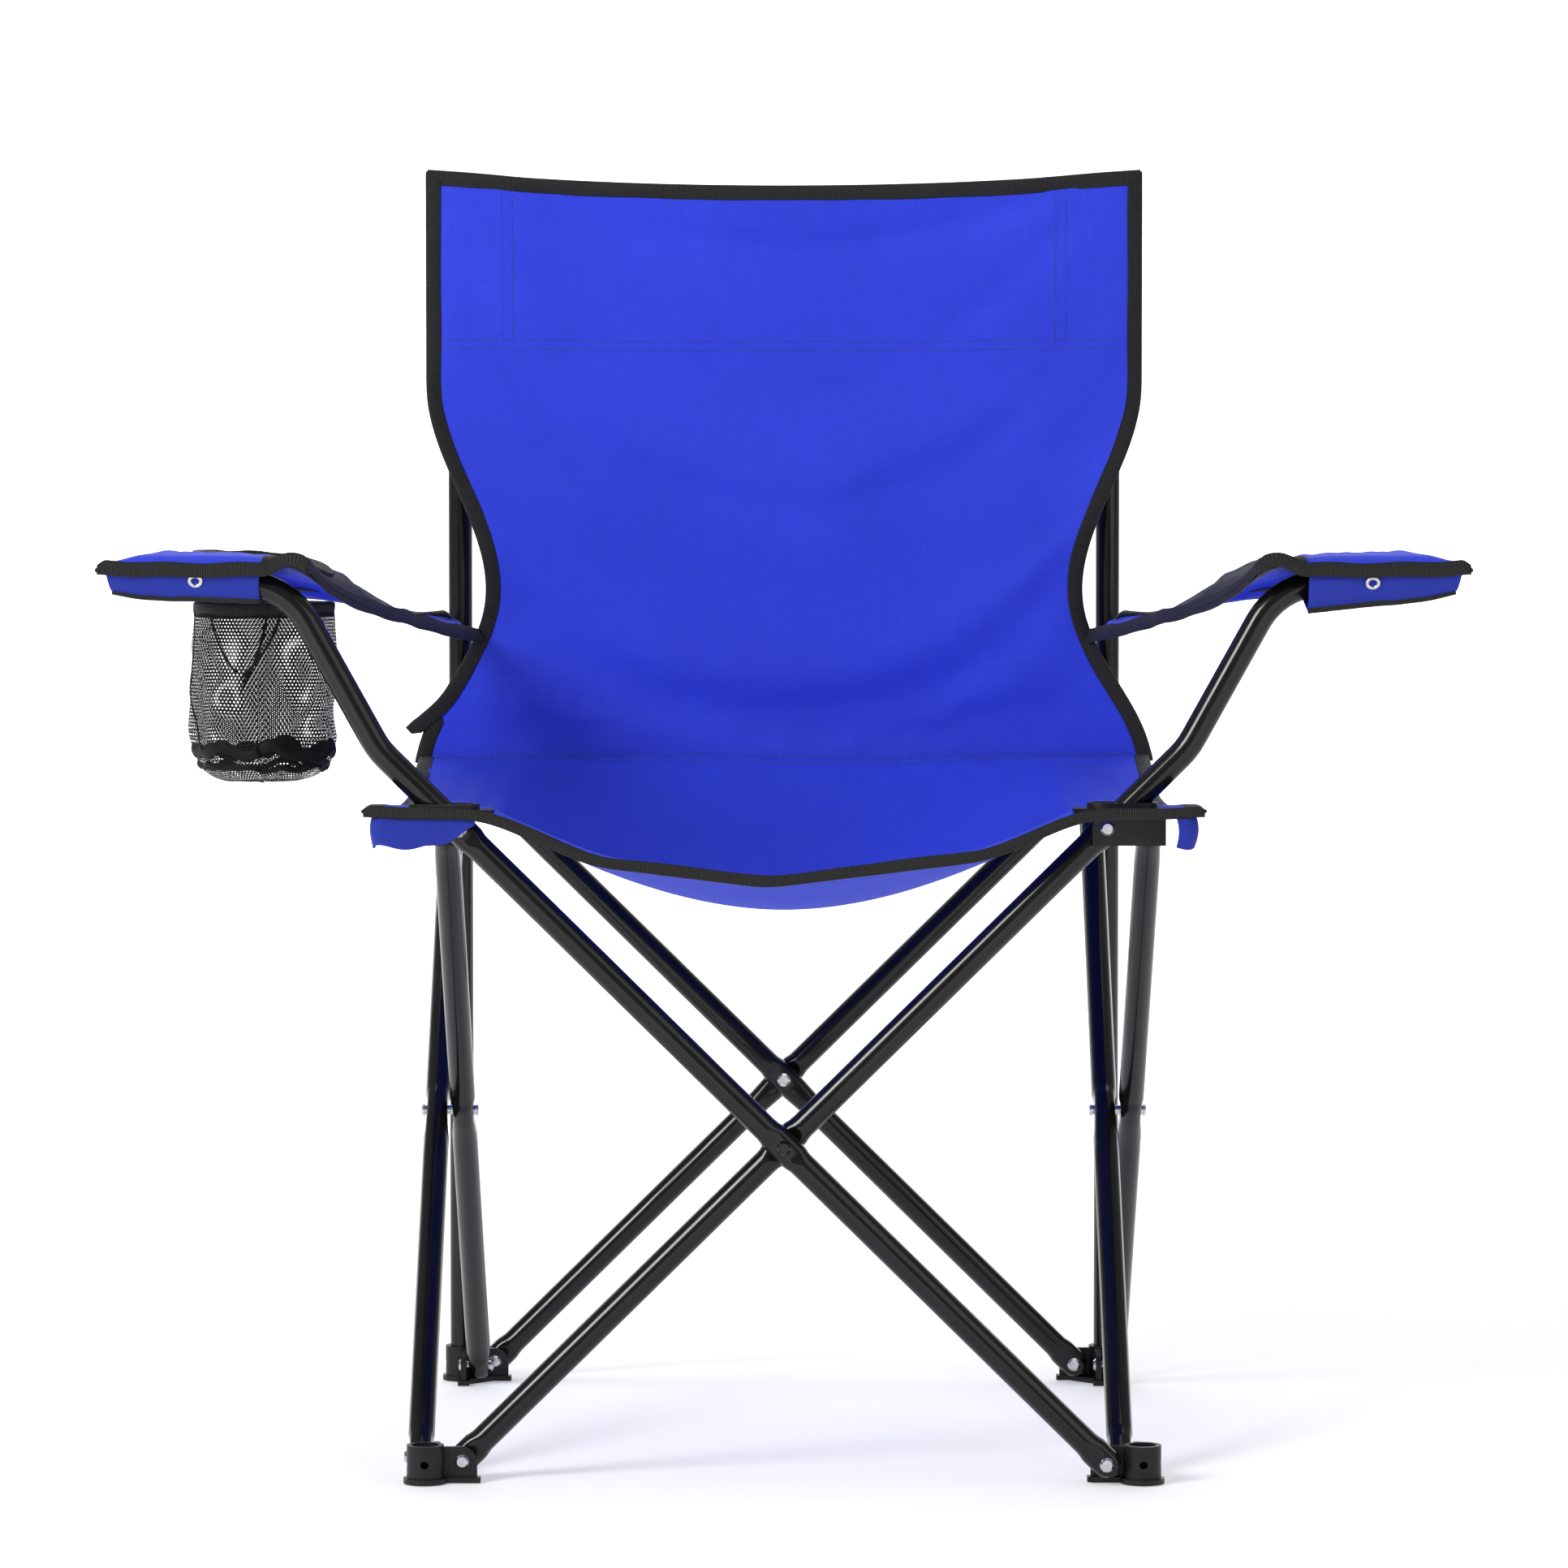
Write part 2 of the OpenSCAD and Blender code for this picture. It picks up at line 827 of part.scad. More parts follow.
module seat_plate_right() {
    color(plastic) at_corner(1, true) seat_plate(inner_off);
}

module seat_front_half() {
    color(blue) seat_half(front_edge_y, -seat_mid_gap / 2);
}

module seat_rear_half() {
    color(blue) seat_half(seat_mid_gap / 2, seat_rear_y);
}

module post_pocket_right() {
    at_corner(2) post_pocket();
}

module post_pocket_left() {
    at_corner(3) post_pocket();
}

module arm_top_left() {
    arm_top(-1);
}

module arm_top_right() {
    arm_top(1);
}

module arm_under_left() {
    arm_under(-1);
}

module arm_under_right() {
    arm_under(1);
}

module arm_rivet_left() {
    color(steel) side_of_frame(0, outer_off, true) arm_rivet_shape();
}

module arm_rivet_right() {
    color(steel) side_of_frame(0, inner_off) arm_rivet_shape();
}

// Moves the chair so that its origin is under the middle of its outer box
module place() {
    translate([0, y_shift, 0])
        children();
}

place() foot_front_left();
place() foot_front_right();
place() foot_rear_left();
place() foot_rear_right();
place() hub_front_left();
place() hub_front_right();
place() hub_rear_left();
place() hub_rear_right();
place() tube_front_to_left_arm();
place() tube_front_to_right_arm();
place() tube_rear_inner();
place() tube_rear_outer();
place() tube_left_inner();
place() tube_left_outer();
place() tube_right_inner();
place() tube_right_outer();
place() post_left();
place() post_right();
place() post_cap_left();
place() post_cap_right();
place() cross_rivet_front();
place() cross_rivet_rear();
place() cross_rivet_left();
place() cross_rivet_right();
place() foot_rivets_front_left();
place() foot_rivets_front_right();
place() foot_rivets_rear_left();
place() foot_rivets_rear_right();
place() hub_rivets_front_left();
place() hub_rivets_front_right();
place() hub_rivets_rear_left();
place() hub_rivets_rear_right();
place() post_rivet_left();
place() post_rivet_right();
place() arm_plug_left();
place() arm_plug_right();
place() seat_plate_left();
place() seat_plate_right();
place() seat_front_half();
place() seat_rear_half();
place() back_panel();
place() post_pocket_left();
place() post_pocket_right();
place() arm_top_left();
place() arm_top_right();
place() arm_under_left();
place() arm_under_right();
place() arm_rivet_left();
place() arm_rivet_right();
place() cup_holder_net();
place() cup_holder_rim();
place() cup_holder_base();
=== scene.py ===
"""Looks of a folding camp chair: steel tube, mouldings, sling cloth, bound edges and a net cup holder."""

import json
import logging
import math
from collections.abc import Callable, Sequence
from dataclasses import dataclass, field
from enum import Enum

import bmesh
import bpy
from mathutils import Matrix, Vector, noise
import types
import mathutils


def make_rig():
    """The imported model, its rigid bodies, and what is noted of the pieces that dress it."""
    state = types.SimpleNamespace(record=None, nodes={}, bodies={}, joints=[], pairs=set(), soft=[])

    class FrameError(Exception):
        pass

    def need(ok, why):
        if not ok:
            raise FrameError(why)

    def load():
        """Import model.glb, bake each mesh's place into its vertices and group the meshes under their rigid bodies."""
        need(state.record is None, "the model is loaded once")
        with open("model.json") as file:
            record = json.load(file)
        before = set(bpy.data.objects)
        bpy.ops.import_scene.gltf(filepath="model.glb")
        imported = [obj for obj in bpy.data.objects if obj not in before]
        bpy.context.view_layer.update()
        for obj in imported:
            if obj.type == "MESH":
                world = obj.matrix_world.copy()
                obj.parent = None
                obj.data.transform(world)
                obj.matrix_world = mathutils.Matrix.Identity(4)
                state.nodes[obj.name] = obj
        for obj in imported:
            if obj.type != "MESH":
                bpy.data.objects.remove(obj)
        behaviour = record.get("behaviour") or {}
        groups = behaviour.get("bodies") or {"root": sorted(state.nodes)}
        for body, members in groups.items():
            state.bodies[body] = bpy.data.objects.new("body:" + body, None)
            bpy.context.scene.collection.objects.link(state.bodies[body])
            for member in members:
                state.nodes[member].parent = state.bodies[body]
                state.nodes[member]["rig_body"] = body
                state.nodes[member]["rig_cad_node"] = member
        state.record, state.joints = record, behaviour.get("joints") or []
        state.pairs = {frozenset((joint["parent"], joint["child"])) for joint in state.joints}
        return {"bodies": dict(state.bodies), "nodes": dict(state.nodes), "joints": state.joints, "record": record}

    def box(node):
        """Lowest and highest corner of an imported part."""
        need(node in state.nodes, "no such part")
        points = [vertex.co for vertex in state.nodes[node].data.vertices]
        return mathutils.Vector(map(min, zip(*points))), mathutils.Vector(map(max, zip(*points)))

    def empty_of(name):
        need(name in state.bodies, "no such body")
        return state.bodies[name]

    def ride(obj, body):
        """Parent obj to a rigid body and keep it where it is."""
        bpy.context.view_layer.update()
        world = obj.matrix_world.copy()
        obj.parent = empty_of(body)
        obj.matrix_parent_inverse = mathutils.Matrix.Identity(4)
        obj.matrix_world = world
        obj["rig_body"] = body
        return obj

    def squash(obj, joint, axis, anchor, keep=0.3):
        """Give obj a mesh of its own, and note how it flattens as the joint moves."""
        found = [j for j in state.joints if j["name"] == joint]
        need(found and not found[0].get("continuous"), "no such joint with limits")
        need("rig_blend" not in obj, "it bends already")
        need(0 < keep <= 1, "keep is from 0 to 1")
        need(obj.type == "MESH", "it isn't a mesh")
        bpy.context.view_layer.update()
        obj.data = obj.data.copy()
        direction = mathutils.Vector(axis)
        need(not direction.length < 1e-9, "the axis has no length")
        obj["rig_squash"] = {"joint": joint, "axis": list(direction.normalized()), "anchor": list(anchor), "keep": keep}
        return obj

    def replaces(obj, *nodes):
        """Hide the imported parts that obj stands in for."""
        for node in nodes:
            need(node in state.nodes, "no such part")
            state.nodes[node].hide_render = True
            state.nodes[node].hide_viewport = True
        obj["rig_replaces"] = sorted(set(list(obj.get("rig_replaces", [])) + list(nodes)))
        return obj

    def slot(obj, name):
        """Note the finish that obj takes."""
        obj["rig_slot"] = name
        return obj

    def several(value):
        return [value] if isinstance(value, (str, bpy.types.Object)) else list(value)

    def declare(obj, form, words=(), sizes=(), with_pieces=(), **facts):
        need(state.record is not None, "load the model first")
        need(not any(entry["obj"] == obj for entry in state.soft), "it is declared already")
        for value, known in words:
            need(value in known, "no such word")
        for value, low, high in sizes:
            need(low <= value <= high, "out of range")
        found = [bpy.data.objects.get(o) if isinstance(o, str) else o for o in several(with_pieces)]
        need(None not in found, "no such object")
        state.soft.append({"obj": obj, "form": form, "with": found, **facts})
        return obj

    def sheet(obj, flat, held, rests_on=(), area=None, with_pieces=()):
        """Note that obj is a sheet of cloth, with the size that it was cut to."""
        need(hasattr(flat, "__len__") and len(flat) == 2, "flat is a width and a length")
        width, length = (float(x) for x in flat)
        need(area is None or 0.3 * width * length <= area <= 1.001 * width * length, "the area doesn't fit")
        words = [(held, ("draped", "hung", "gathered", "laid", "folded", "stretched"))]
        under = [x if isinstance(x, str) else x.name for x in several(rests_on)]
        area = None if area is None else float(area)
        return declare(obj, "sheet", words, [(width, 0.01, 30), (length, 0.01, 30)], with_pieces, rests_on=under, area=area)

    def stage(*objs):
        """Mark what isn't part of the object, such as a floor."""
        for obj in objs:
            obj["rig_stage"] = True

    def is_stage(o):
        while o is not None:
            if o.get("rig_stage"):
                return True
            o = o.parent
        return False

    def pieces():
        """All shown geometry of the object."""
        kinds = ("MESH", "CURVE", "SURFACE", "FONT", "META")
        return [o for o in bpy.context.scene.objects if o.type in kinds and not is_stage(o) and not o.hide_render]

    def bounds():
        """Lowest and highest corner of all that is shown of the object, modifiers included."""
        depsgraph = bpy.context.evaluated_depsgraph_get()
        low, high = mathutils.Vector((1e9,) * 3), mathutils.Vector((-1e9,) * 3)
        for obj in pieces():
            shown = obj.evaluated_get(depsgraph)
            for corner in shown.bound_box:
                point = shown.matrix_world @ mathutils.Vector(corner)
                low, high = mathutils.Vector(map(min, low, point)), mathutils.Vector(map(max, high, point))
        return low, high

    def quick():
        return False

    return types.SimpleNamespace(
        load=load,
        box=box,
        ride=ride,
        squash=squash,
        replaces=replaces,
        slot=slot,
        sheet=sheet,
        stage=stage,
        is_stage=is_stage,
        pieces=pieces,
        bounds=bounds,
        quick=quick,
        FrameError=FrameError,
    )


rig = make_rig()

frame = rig.load()
CAD_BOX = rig.bounds()

log = logging.getLogger("camp_chair")
MM = 0.001
# Share of their spread that the soft parts keep when the frame is closed
SOFT_KEEP = 0.222
UP = Vector((0, 0, 1))
RIGHT = Vector((1, 0, 0))
AWAY = Vector((0, 1, 0))
# How near its edge, as a share of its size, a point of a cloth counts as on it
ON_EDGE = 1e-4

Socket = bpy.types.NodeSocket
Piece = bpy.types.Object
Material = bpy.types.Material
Colour = tuple[float, float, float]
# The points of a cross-section
Outline = list[tuple[float, float]]
# A value for each u and v of a cloth, which run from 0 to 1 across it and along it
OnCloth = Callable[[float, float], float]
# A line on a cloth: its points and the cloth's normals there
Line = tuple[list[Vector], list[Vector]]


class Side(Enum):
    """Which side of the chair, as seen by someone facing it."""

    LEFT = -1
    RIGHT = 1

    @property
    def word(self) -> str:
        """The side's name in node and piece names."""
        return self.name.lower()


# ---- Small sums ----


def ease(t: float) -> float:
    """A smooth step from 0 to 1."""
    t = min(max(t, 0.0), 1.0)
    return t * t * (3 - 2 * t)


def mix(a: float, b: float, t: float) -> float:
    """The value a share t of the way from a to b."""
    return a + (b - a) * t


def bump_at(x: float, middle: float, reach: float) -> float:
    """A smooth hump of height 1 at middle that ends a reach away on both sides."""
    return ease(1 - abs(x - middle) / reach)


def wobble(x: float, seed: float, pitch: float) -> float:
    """Smooth noise from -1 to 1 along a line.

    Args:
        x: Place along the line, in metres.
        seed: Picks one line of noise out of many.
        pitch: Rough length of one wave, in metres.

    Returns:
        The noise there.
    """
    return noise.noise(Vector((x / pitch, seed * 7.31, seed * 1.7)))


def joint_place(name: str) -> Vector:
    """Where a joint's pin sits at rest, in the chair's frame."""
    return next(Vector(j["pos_m"]) for j in frame["joints"] if j["name"] == name)


def middle(node: str) -> Vector:
    """The middle of a CAD node's box."""
    low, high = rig.box(node)
    return (low + high) / 2


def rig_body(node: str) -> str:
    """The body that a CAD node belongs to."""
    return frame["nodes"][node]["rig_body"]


def shade(colour: Colour, share: float) -> Colour:
    """A colour made darker or lighter."""
    return tuple(share * c for c in colour)


def ring(centre: Vector, radius: float, z: float, count: int = 96) -> list[Vector]:
    """Points round a level circle.

    Args:
        centre: The circle's middle.
        radius: Its radius.
        z: Its height.
        count: How many steps it has.

    Returns:
        The points, the first one again at the end.
    """
    turns = [2 * math.pi * k / count for k in range(count + 1)]
    return [Vector((centre.x + radius * math.cos(a), centre.y + radius * math.sin(a), z)) for a in turns]


def outward(points: list[Vector], centre: Vector) -> list[Vector]:
    """Level directions to each point from an upright line."""
    return [(p - Vector((centre.x, centre.y, p.z))).normalized() for p in points]


def parted(pairs: Sequence[tuple[Vector, Vector]]) -> Line:
    """Pairs of a point and its normal as a list of each."""
    return [p for p, _ in pairs], [n for _, n in pairs]


def each(value: Vector | list[Vector], count: int) -> list[Vector]:
    """A value for each of a number of points, from one value or from a list of them."""
    return value if isinstance(value, list) else [value] * count


# ---- Finishes ----


class Shader:
    """A node tree under construction for one finish."""

    def __init__(self, name: str) -> None:
        """Start a material with a Principled shader.

        Args:
            name: The material's name.
        """
        self.material = bpy.data.materials.new(name)
        self.material.use_nodes = True
        self.tree = self.material.node_tree
        self.shader = self.tree.nodes["Principled BSDF"]

    def node(self, kind: str, **settings: object) -> bpy.types.Node:
        """Add a node.

        Args:
            kind: The node's type name.
            **settings: Attributes to set on it; a name that is also a socket sets the socket.

        Returns:
            The new node.
        """
        new = self.tree.nodes.new(kind)
        for key, value in settings.items():
            if hasattr(new, key):
                setattr(new, key, value)
            else:
                new.inputs[key.replace("_", " ")].default_value = value
        return new

    def link(self, a: Socket, b: Socket) -> None:
        """Join an output to an input."""
        self.tree.links.new(a, b)

    def set(self, **values: object) -> None:
        """Set constants on the shader's own sockets, named with underscores for spaces."""
        for key, value in values.items():
            self.shader.inputs[key.replace("_", " ")].default_value = value

    def math(self, operation: str, a: object, b: object = 0.0, clamp: bool = False) -> Socket:
        """Add a Math node.

        Args:
            operation: The operation's name.
            a: First operand, a socket or a number.
            b: Second operand, a socket or a number.
            clamp: Whether the result stays from 0 to 1.

        Returns:
            The node's output.
        """
        new = self.node("ShaderNodeMath", operation=operation, use_clamp=clamp)
        for i, value in enumerate((a, b)):
            if isinstance(value, Socket):
                self.link(value, new.inputs[i])
            else:
                new.inputs[i].default_value = value
        return new.outputs[0]

    def noise(
        self, coords: Socket, scale: float, detail: float = 2.0, stretch: tuple[float, float, float] = (1, 1, 1)
    ) -> Socket:
        """Add noise over coordinates in metres.

        Args:
            coords: The coordinates' socket.
            scale: Waves in a metre.
            detail: Octaves.
            stretch: Scale of each coordinate.

        Returns:
            The noise's value.
        """
        mapping = self.node("ShaderNodeMapping")
        mapping.inputs["Scale"].default_value = stretch
        self.link(coords, mapping.inputs["Vector"])
        tex = self.node("ShaderNodeTexNoise", Scale=scale, Detail=detail)
        self.link(mapping.outputs[0], tex.inputs["Vector"])
        return tex.outputs[0]

    def coords(self) -> Socket:
        """The piece's own coordinates, in metres."""
        return self.node("ShaderNodeTexCoord").outputs["Object"]

    def weave(self) -> tuple[Socket, Socket, Socket]:
        """The cloth's UV map in metres, whole and as its two coordinates.

        Returns:
            The map, its first coordinate and its second.
        """
        uv = self.node("ShaderNodeUVMap", uv_map="weave").outputs[0]
        split = self.node("ShaderNodeSeparateXYZ")
        self.link(uv, split.inputs[0])
        return uv, split.outputs[0], split.outputs[1]

    def total(self, *parts: tuple[Socket, float]) -> Socket:
        """Add values up.

        Args:
            *parts: The values, each with its weight.

        Returns:
            The sum.
        """
        found = self.math("MULTIPLY", *parts[0])
        for part in parts[1:]:
            found = self.math("ADD", found, self.math("MULTIPLY", *part))
        return found

    def roughen(self, value: Socket, spread: float, least: float) -> None:
        """Set the roughness from a value: its least, and how far the value takes it up."""
        rough = self.math("ADD", self.math("MULTIPLY", value, spread), least)
        self.link(rough, self.shader.inputs["Roughness"])

    def tint(self, value: Socket, *stops: tuple[float, Colour]) -> None:
        """Set the colour from a value.

        Args:
            value: The value's socket.
            *stops: Positions and their colours.
        """
        ramp = self.node("ShaderNodeValToRGB")
        elements = ramp.color_ramp.elements
        while len(elements) < len(stops):
            elements.new(0.5)
        for element, (at, colour) in zip(elements, stops):
            element.position = at
            element.color = (*colour, 1.0)
        self.link(value, ramp.inputs[0])
        self.link(ramp.outputs[0], self.shader.inputs["Base Color"])

    def bump(
        self, height: Socket, distance: float, strength: float = 1.0, under: bpy.types.Node | None = None
    ) -> bpy.types.Node:
        """Add a bump and join it to the shader.

        Args:
            height: The height's socket, from 0 to 1.
            distance: What a height of 1 stands for, in metres.
            strength: How strongly it acts.
            under: A bump that this one lies on.

        Returns:
            The bump node.
        """
        new = self.node("ShaderNodeBump", Strength=strength, Distance=distance)
        self.link(height, new.inputs["Height"])
        if under is not None:
            self.link(under.outputs[0], new.inputs["Normal"])
        self.link(new.outputs[0], self.shader.inputs["Normal"])
        return new

    def waves(self, coord: Socket, pitch: float) -> Socket:
        """A sine of a coordinate, from 0 to 1, with the pitch given in metres."""
        turned = self.math("MULTIPLY", coord, 2 * math.pi / pitch)
        return self.math("ADD", self.math("MULTIPLY", self.math("SINE", turned), 0.5), 0.5)


@dataclass(frozen=True)
class PowderCoat:
    """Gloss black powder coat on steel tube."""

    colour: Colour = (0.004, 0.004, 0.0042)
    roughness: float = 0.2

    def make(self) -> Material:
        """Build the material.

        Returns:
            The finished material.
        """
        s = Shader("gloss_black_powder_coat")
        coords = s.coords()
        s.tint(s.noise(coords, 38, 3), (0.35, shade(self.colour, 0.8)), (0.7, shade(self.colour, 1.35)))
        s.roughen(s.noise(coords, 120, 3), 0.12, self.roughness - 0.06)
        s.bump(s.noise(coords, 900, 2), 0.00002, 0.5)
        s.set(Coat_Weight=0.25, Coat_Roughness=0.06, Specular_IOR_Level=0.22)
        return s.material


@dataclass(frozen=True)
class Moulding:
    """Injection-moulded black plastic with a fine spark texture."""

    colour: Colour = (0.008, 0.008, 0.0085)
    roughness: float = 0.44

    def make(self) -> Material:
        """Build the material.

        Returns:
            The finished material.
        """
        s = Shader("moulded_black_plastic")
        coords = s.coords()
        s.tint(s.noise(coords, 60, 3), (0.3, shade(self.colour, 0.75)), (0.75, shade(self.colour, 1.5)))
        s.roughen(s.noise(coords, 240, 2), 0.2, self.roughness - 0.1)
        s.bump(s.noise(coords, 2600, 2), 0.00004, 0.6)
        s.set(Specular_IOR_Level=0.3)
        return s.material


@dataclass(frozen=True)
class Plated:
    """Bright plated steel of the rivets."""

    colour: Colour = (0.66, 0.66, 0.68)
    roughness: float = 0.2

    def make(self) -> Material:
        """Build the material.

        Returns:
            The finished material.
        """
        s = Shader("bright_plated_steel")
        coords = s.coords()
        s.tint(s.noise(coords, 300, 3), (0.3, shade(self.colour, 0.7)), (0.7, self.colour))
        s.roughen(s.noise(coords, 700, 2), 0.22, self.roughness - 0.08)
        s.bump(s.noise(coords, 1400, 2), 0.00003, 0.4)
        s.set(Metallic=1.0)
        return s.material


@dataclass(frozen=True)
class SlingCloth:
    """Royal blue plain-weave polyester, its pattern laid out in metres on the piece's UV map; the weave's light and
    dark in the colour are painted highlight and shade.
    """

    name: str = "royal_blue_polyester"
    colour: Colour = (0.021, 0.043, 0.60)
    thread: float = 1.05 * MM

    def make(self) -> Material:
        """Build the material.

        Returns:
            The finished material.
        """
        s = Shader(self.name)
        uv, along, across = s.weave()
        warp, weft = s.waves(along, self.thread), s.waves(across, self.thread)
        gaps = s.math("MULTIPLY", s.math("SUBTRACT", 1.0, warp), s.math("SUBTRACT", 1.0, weft))
        over = s.math("ADD", s.math("MULTIPLY", warp, weft), gaps)
        slub = s.total((s.noise(uv, 130, 2, (6, 0.3, 1)), 0.5), (s.noise(uv, 130, 2, (0.3, 6, 1)), 0.5))
        cloud = s.noise(uv, 9, 3)
        # The tone: the weave part is painted highlight and shade on the threads; the slubs and clouds are random tone
        tone = s.total((over, 0.3), (slub, 0.45), (cloud, 0.35))
        red, green, blue = self.colour
        high = (red * 1.55, green * 1.5, min(blue * 1.2, 0.9))
        s.tint(tone, (0.22, shade(self.colour, 0.68)), (0.55, self.colour), (0.88, high))
        s.roughen(slub, 0.22, 0.52)
        lumps = s.bump(cloud, 0.0012, 0.35)
        s.bump(s.total((over, 0.6), (slub, 0.5)), 0.00022, 0.8, lumps)
        s.set(Sheen_Weight=0.12, Sheen_Roughness=0.4, Sheen_Tint=(0.2, 0.3, 1.0, 1.0), Specular_IOR_Level=0.2)
        return s.material


@dataclass(frozen=True)
class BindingTape:
    """Black ribbed webbing: ribs lie across the tape, and fine lines run along it."""

    colour: Colour = (0.008, 0.008, 0.0085)
    rib: float = 1.5 * MM

    def make(self) -> Material:
        """Build the material.

        Returns:
            The finished material.
        """
        s = Shader("black_ribbed_webbing")
        uv, along, across = s.weave()
        yarn = s.total((s.waves(along, self.rib), 0.75), (s.waves(across, self.rib * 0.55), 0.25))
        wear = s.noise(uv, 260, 3)
        # The tone: the ribs are painted shade in their grooves and painted highlight on their crests; the wear noise is
        # random tone
        tone = s.total((yarn, 0.7), (wear, 0.35))
        s.tint(tone, (0.2, shade(self.colour, 0.35)), (0.6, self.colour), (0.95, shade(self.colour, 2.6)))
        s.roughen(wear, 0.2, 0.5)
        s.bump(yarn, 0.00045, 0.9)
        s.set(Sheen_Weight=0.05, Sheen_Roughness=0.4, Specular_IOR_Level=0.25)
        return s.material


@dataclass(frozen=True)
class NetYarn:
    """Black knitted yarn of the cup holder's net."""

    colour: Colour = (0.004, 0.004, 0.0045)

    def make(self) -> Material:
        """Build the material.

        Returns:
            The finished material.
        """
        s = Shader("black_net_yarn")
        coords = s.coords()
        fuzz = s.noise(coords, 1500, 3)
        s.tint(fuzz, (0.3, shade(self.colour, 0.5)), (0.75, shade(self.colour, 2.2)))
        s.roughen(fuzz, 0.2, 0.5)
        s.bump(fuzz, 0.0002, 0.6)
        s.set(Specular_IOR_Level=0.12)
        return s.material


@dataclass(frozen=True)
class SewingThread:
    """Dark blue polyester sewing thread; its dark tone is partly the thread's own colour and partly painted shade of
    the needle holes.
    """

    colour: Colour = (0.015, 0.022, 0.22)

    def make(self) -> Material:
        """Build the material.

        Returns:
            The finished material.
        """
        s = Shader("dark_thread")
        twist = s.noise(s.coords(), 2200, 2)
        s.tint(twist, (0.3, shade(self.colour, 0.7)), (0.7, self.colour))
        s.bump(twist, 0.0001, 0.5)
        s.set(Roughness=0.45, Sheen_Weight=0.3)
        return s.material


@dataclass(frozen=True)
class StudioPaper:
    """Plain pale floor."""

    colour: Colour = (0.80, 0.80, 0.81)
    # Share of its own light at the middle, which grows to all of it at the reach
    glow: float = 0.3
    reach: float = 3.0

    def make(self) -> Material:
        """Build the material.

        Returns:
            The finished material.
        """
        s = Shader("pale_studio_floor")
        coords = s.coords()
        s.tint(s.noise(coords, 3, 2), (0.2, shade(self.colour, 0.99)), (0.8, self.colour))
        length = s.node("ShaderNodeVectorMath", operation="LENGTH")
        s.link(coords, length.inputs[0])
        far = s.math("DIVIDE", length.outputs["Value"], self.reach, clamp=True)
        lit = s.math("ADD", s.math("MULTIPLY", s.math("POWER", far, 2.0), 1.0 - self.glow), self.glow)
        s.link(lit, s.shader.inputs["Emission Strength"])
        s.set(Roughness=0.8, Specular_IOR_Level=0.1, Emission_Color=(1.0, 1.0, 1.0, 1.0))
        return s.material


@dataclass(frozen=True)
class LitBackdrop:
    """A white backdrop lit from behind."""

    strength: float = 1.05

    def make(self) -> Material:
        """Build the material.

        Returns:
            The finished material.
        """
        s = Shader("lit_backdrop")
        s.set(Base_Color=(0.8, 0.8, 0.8, 1.0), Emission_Color=(1.0, 1.0, 1.0, 1.0), Emission_Strength=self.strength)
        return s.material


@dataclass
class Finishes:
    """Every finish of the chair, made once."""

    tube: Material = field(default_factory=lambda: PowderCoat().make())
    moulding: Material = field(default_factory=lambda: Moulding().make())
    rivet: Material = field(default_factory=lambda: Plated().make())
    cloth: Material = field(default_factory=lambda: SlingCloth().make())
    # The sling cloth made darker, as painted shade, for the arms' under cloths and the seat's corner flaps
    lining: Material = field(
        default_factory=lambda: SlingCloth("blue_polyester_lining", (0.013, 0.026, 0.30)).make()
    )
    tape: Material = field(default_factory=lambda: BindingTape().make())
    net: Material = field(default_factory=lambda: NetYarn().make())
    thread: Material = field(default_factory=lambda: SewingThread().make())


# ---- Making pieces ----


def make_piece(name: str, bm: bmesh.types.BMesh, material: Material, smooth: bool = True) -> Piece:
    """Turn a bmesh into an object at the origin.

    Args:
        name: The piece's name.
        bm: Its mesh, in place in the chair's frame; it is freed.
        material: Its finish.
        smooth: Whether its faces are shaded smooth.

    Returns:
        The new object.
    """
    mesh = bpy.data.meshes.new(name)
    bm.to_mesh(mesh)
    bm.free()
    mesh.materials.append(material)
    if smooth:
        mesh.polygons.foreach_set("use_smooth", [True] * len(mesh.polygons))
    piece = bpy.data.objects.new(name, mesh)
    bpy.context.scene.collection.objects.link(piece)
    return piece


@dataclass
class Station:
    """One cross-section of a swept piece: its place and its two cross axes."""

    at: Vector
    x: Vector
    y: Vector
    along: float = 0.0

    def point(self, px: float, py: float) -> Vector:
        """The place of a point given in the cross-section's own axes."""
        return self.at + self.x * px + self.y * py


def stations_on(points: Sequence[Vector], y_axes: Sequence[Vector]) -> list[Station]:
    """Cross-sections along a line.

    Args:
        points: The line.
        y_axes: Roughly the direction of each section's y axis.

    Returns:
        One station for each point, square to the line.
    """
    found, run = [], 0.0
    last = len(points) - 1
    for i, point in enumerate(points):
        tangent = (points[min(i + 1, last)] - points[max(i - 1, 0)]).normalized()
        y = (y_axes[i] - tangent * tangent.dot(y_axes[i])).normalized()
        run += (point - points[i - 1]).length if i else 0.0
        found.append(Station(point, y.cross(tangent).normalized(), y, run))
    return found


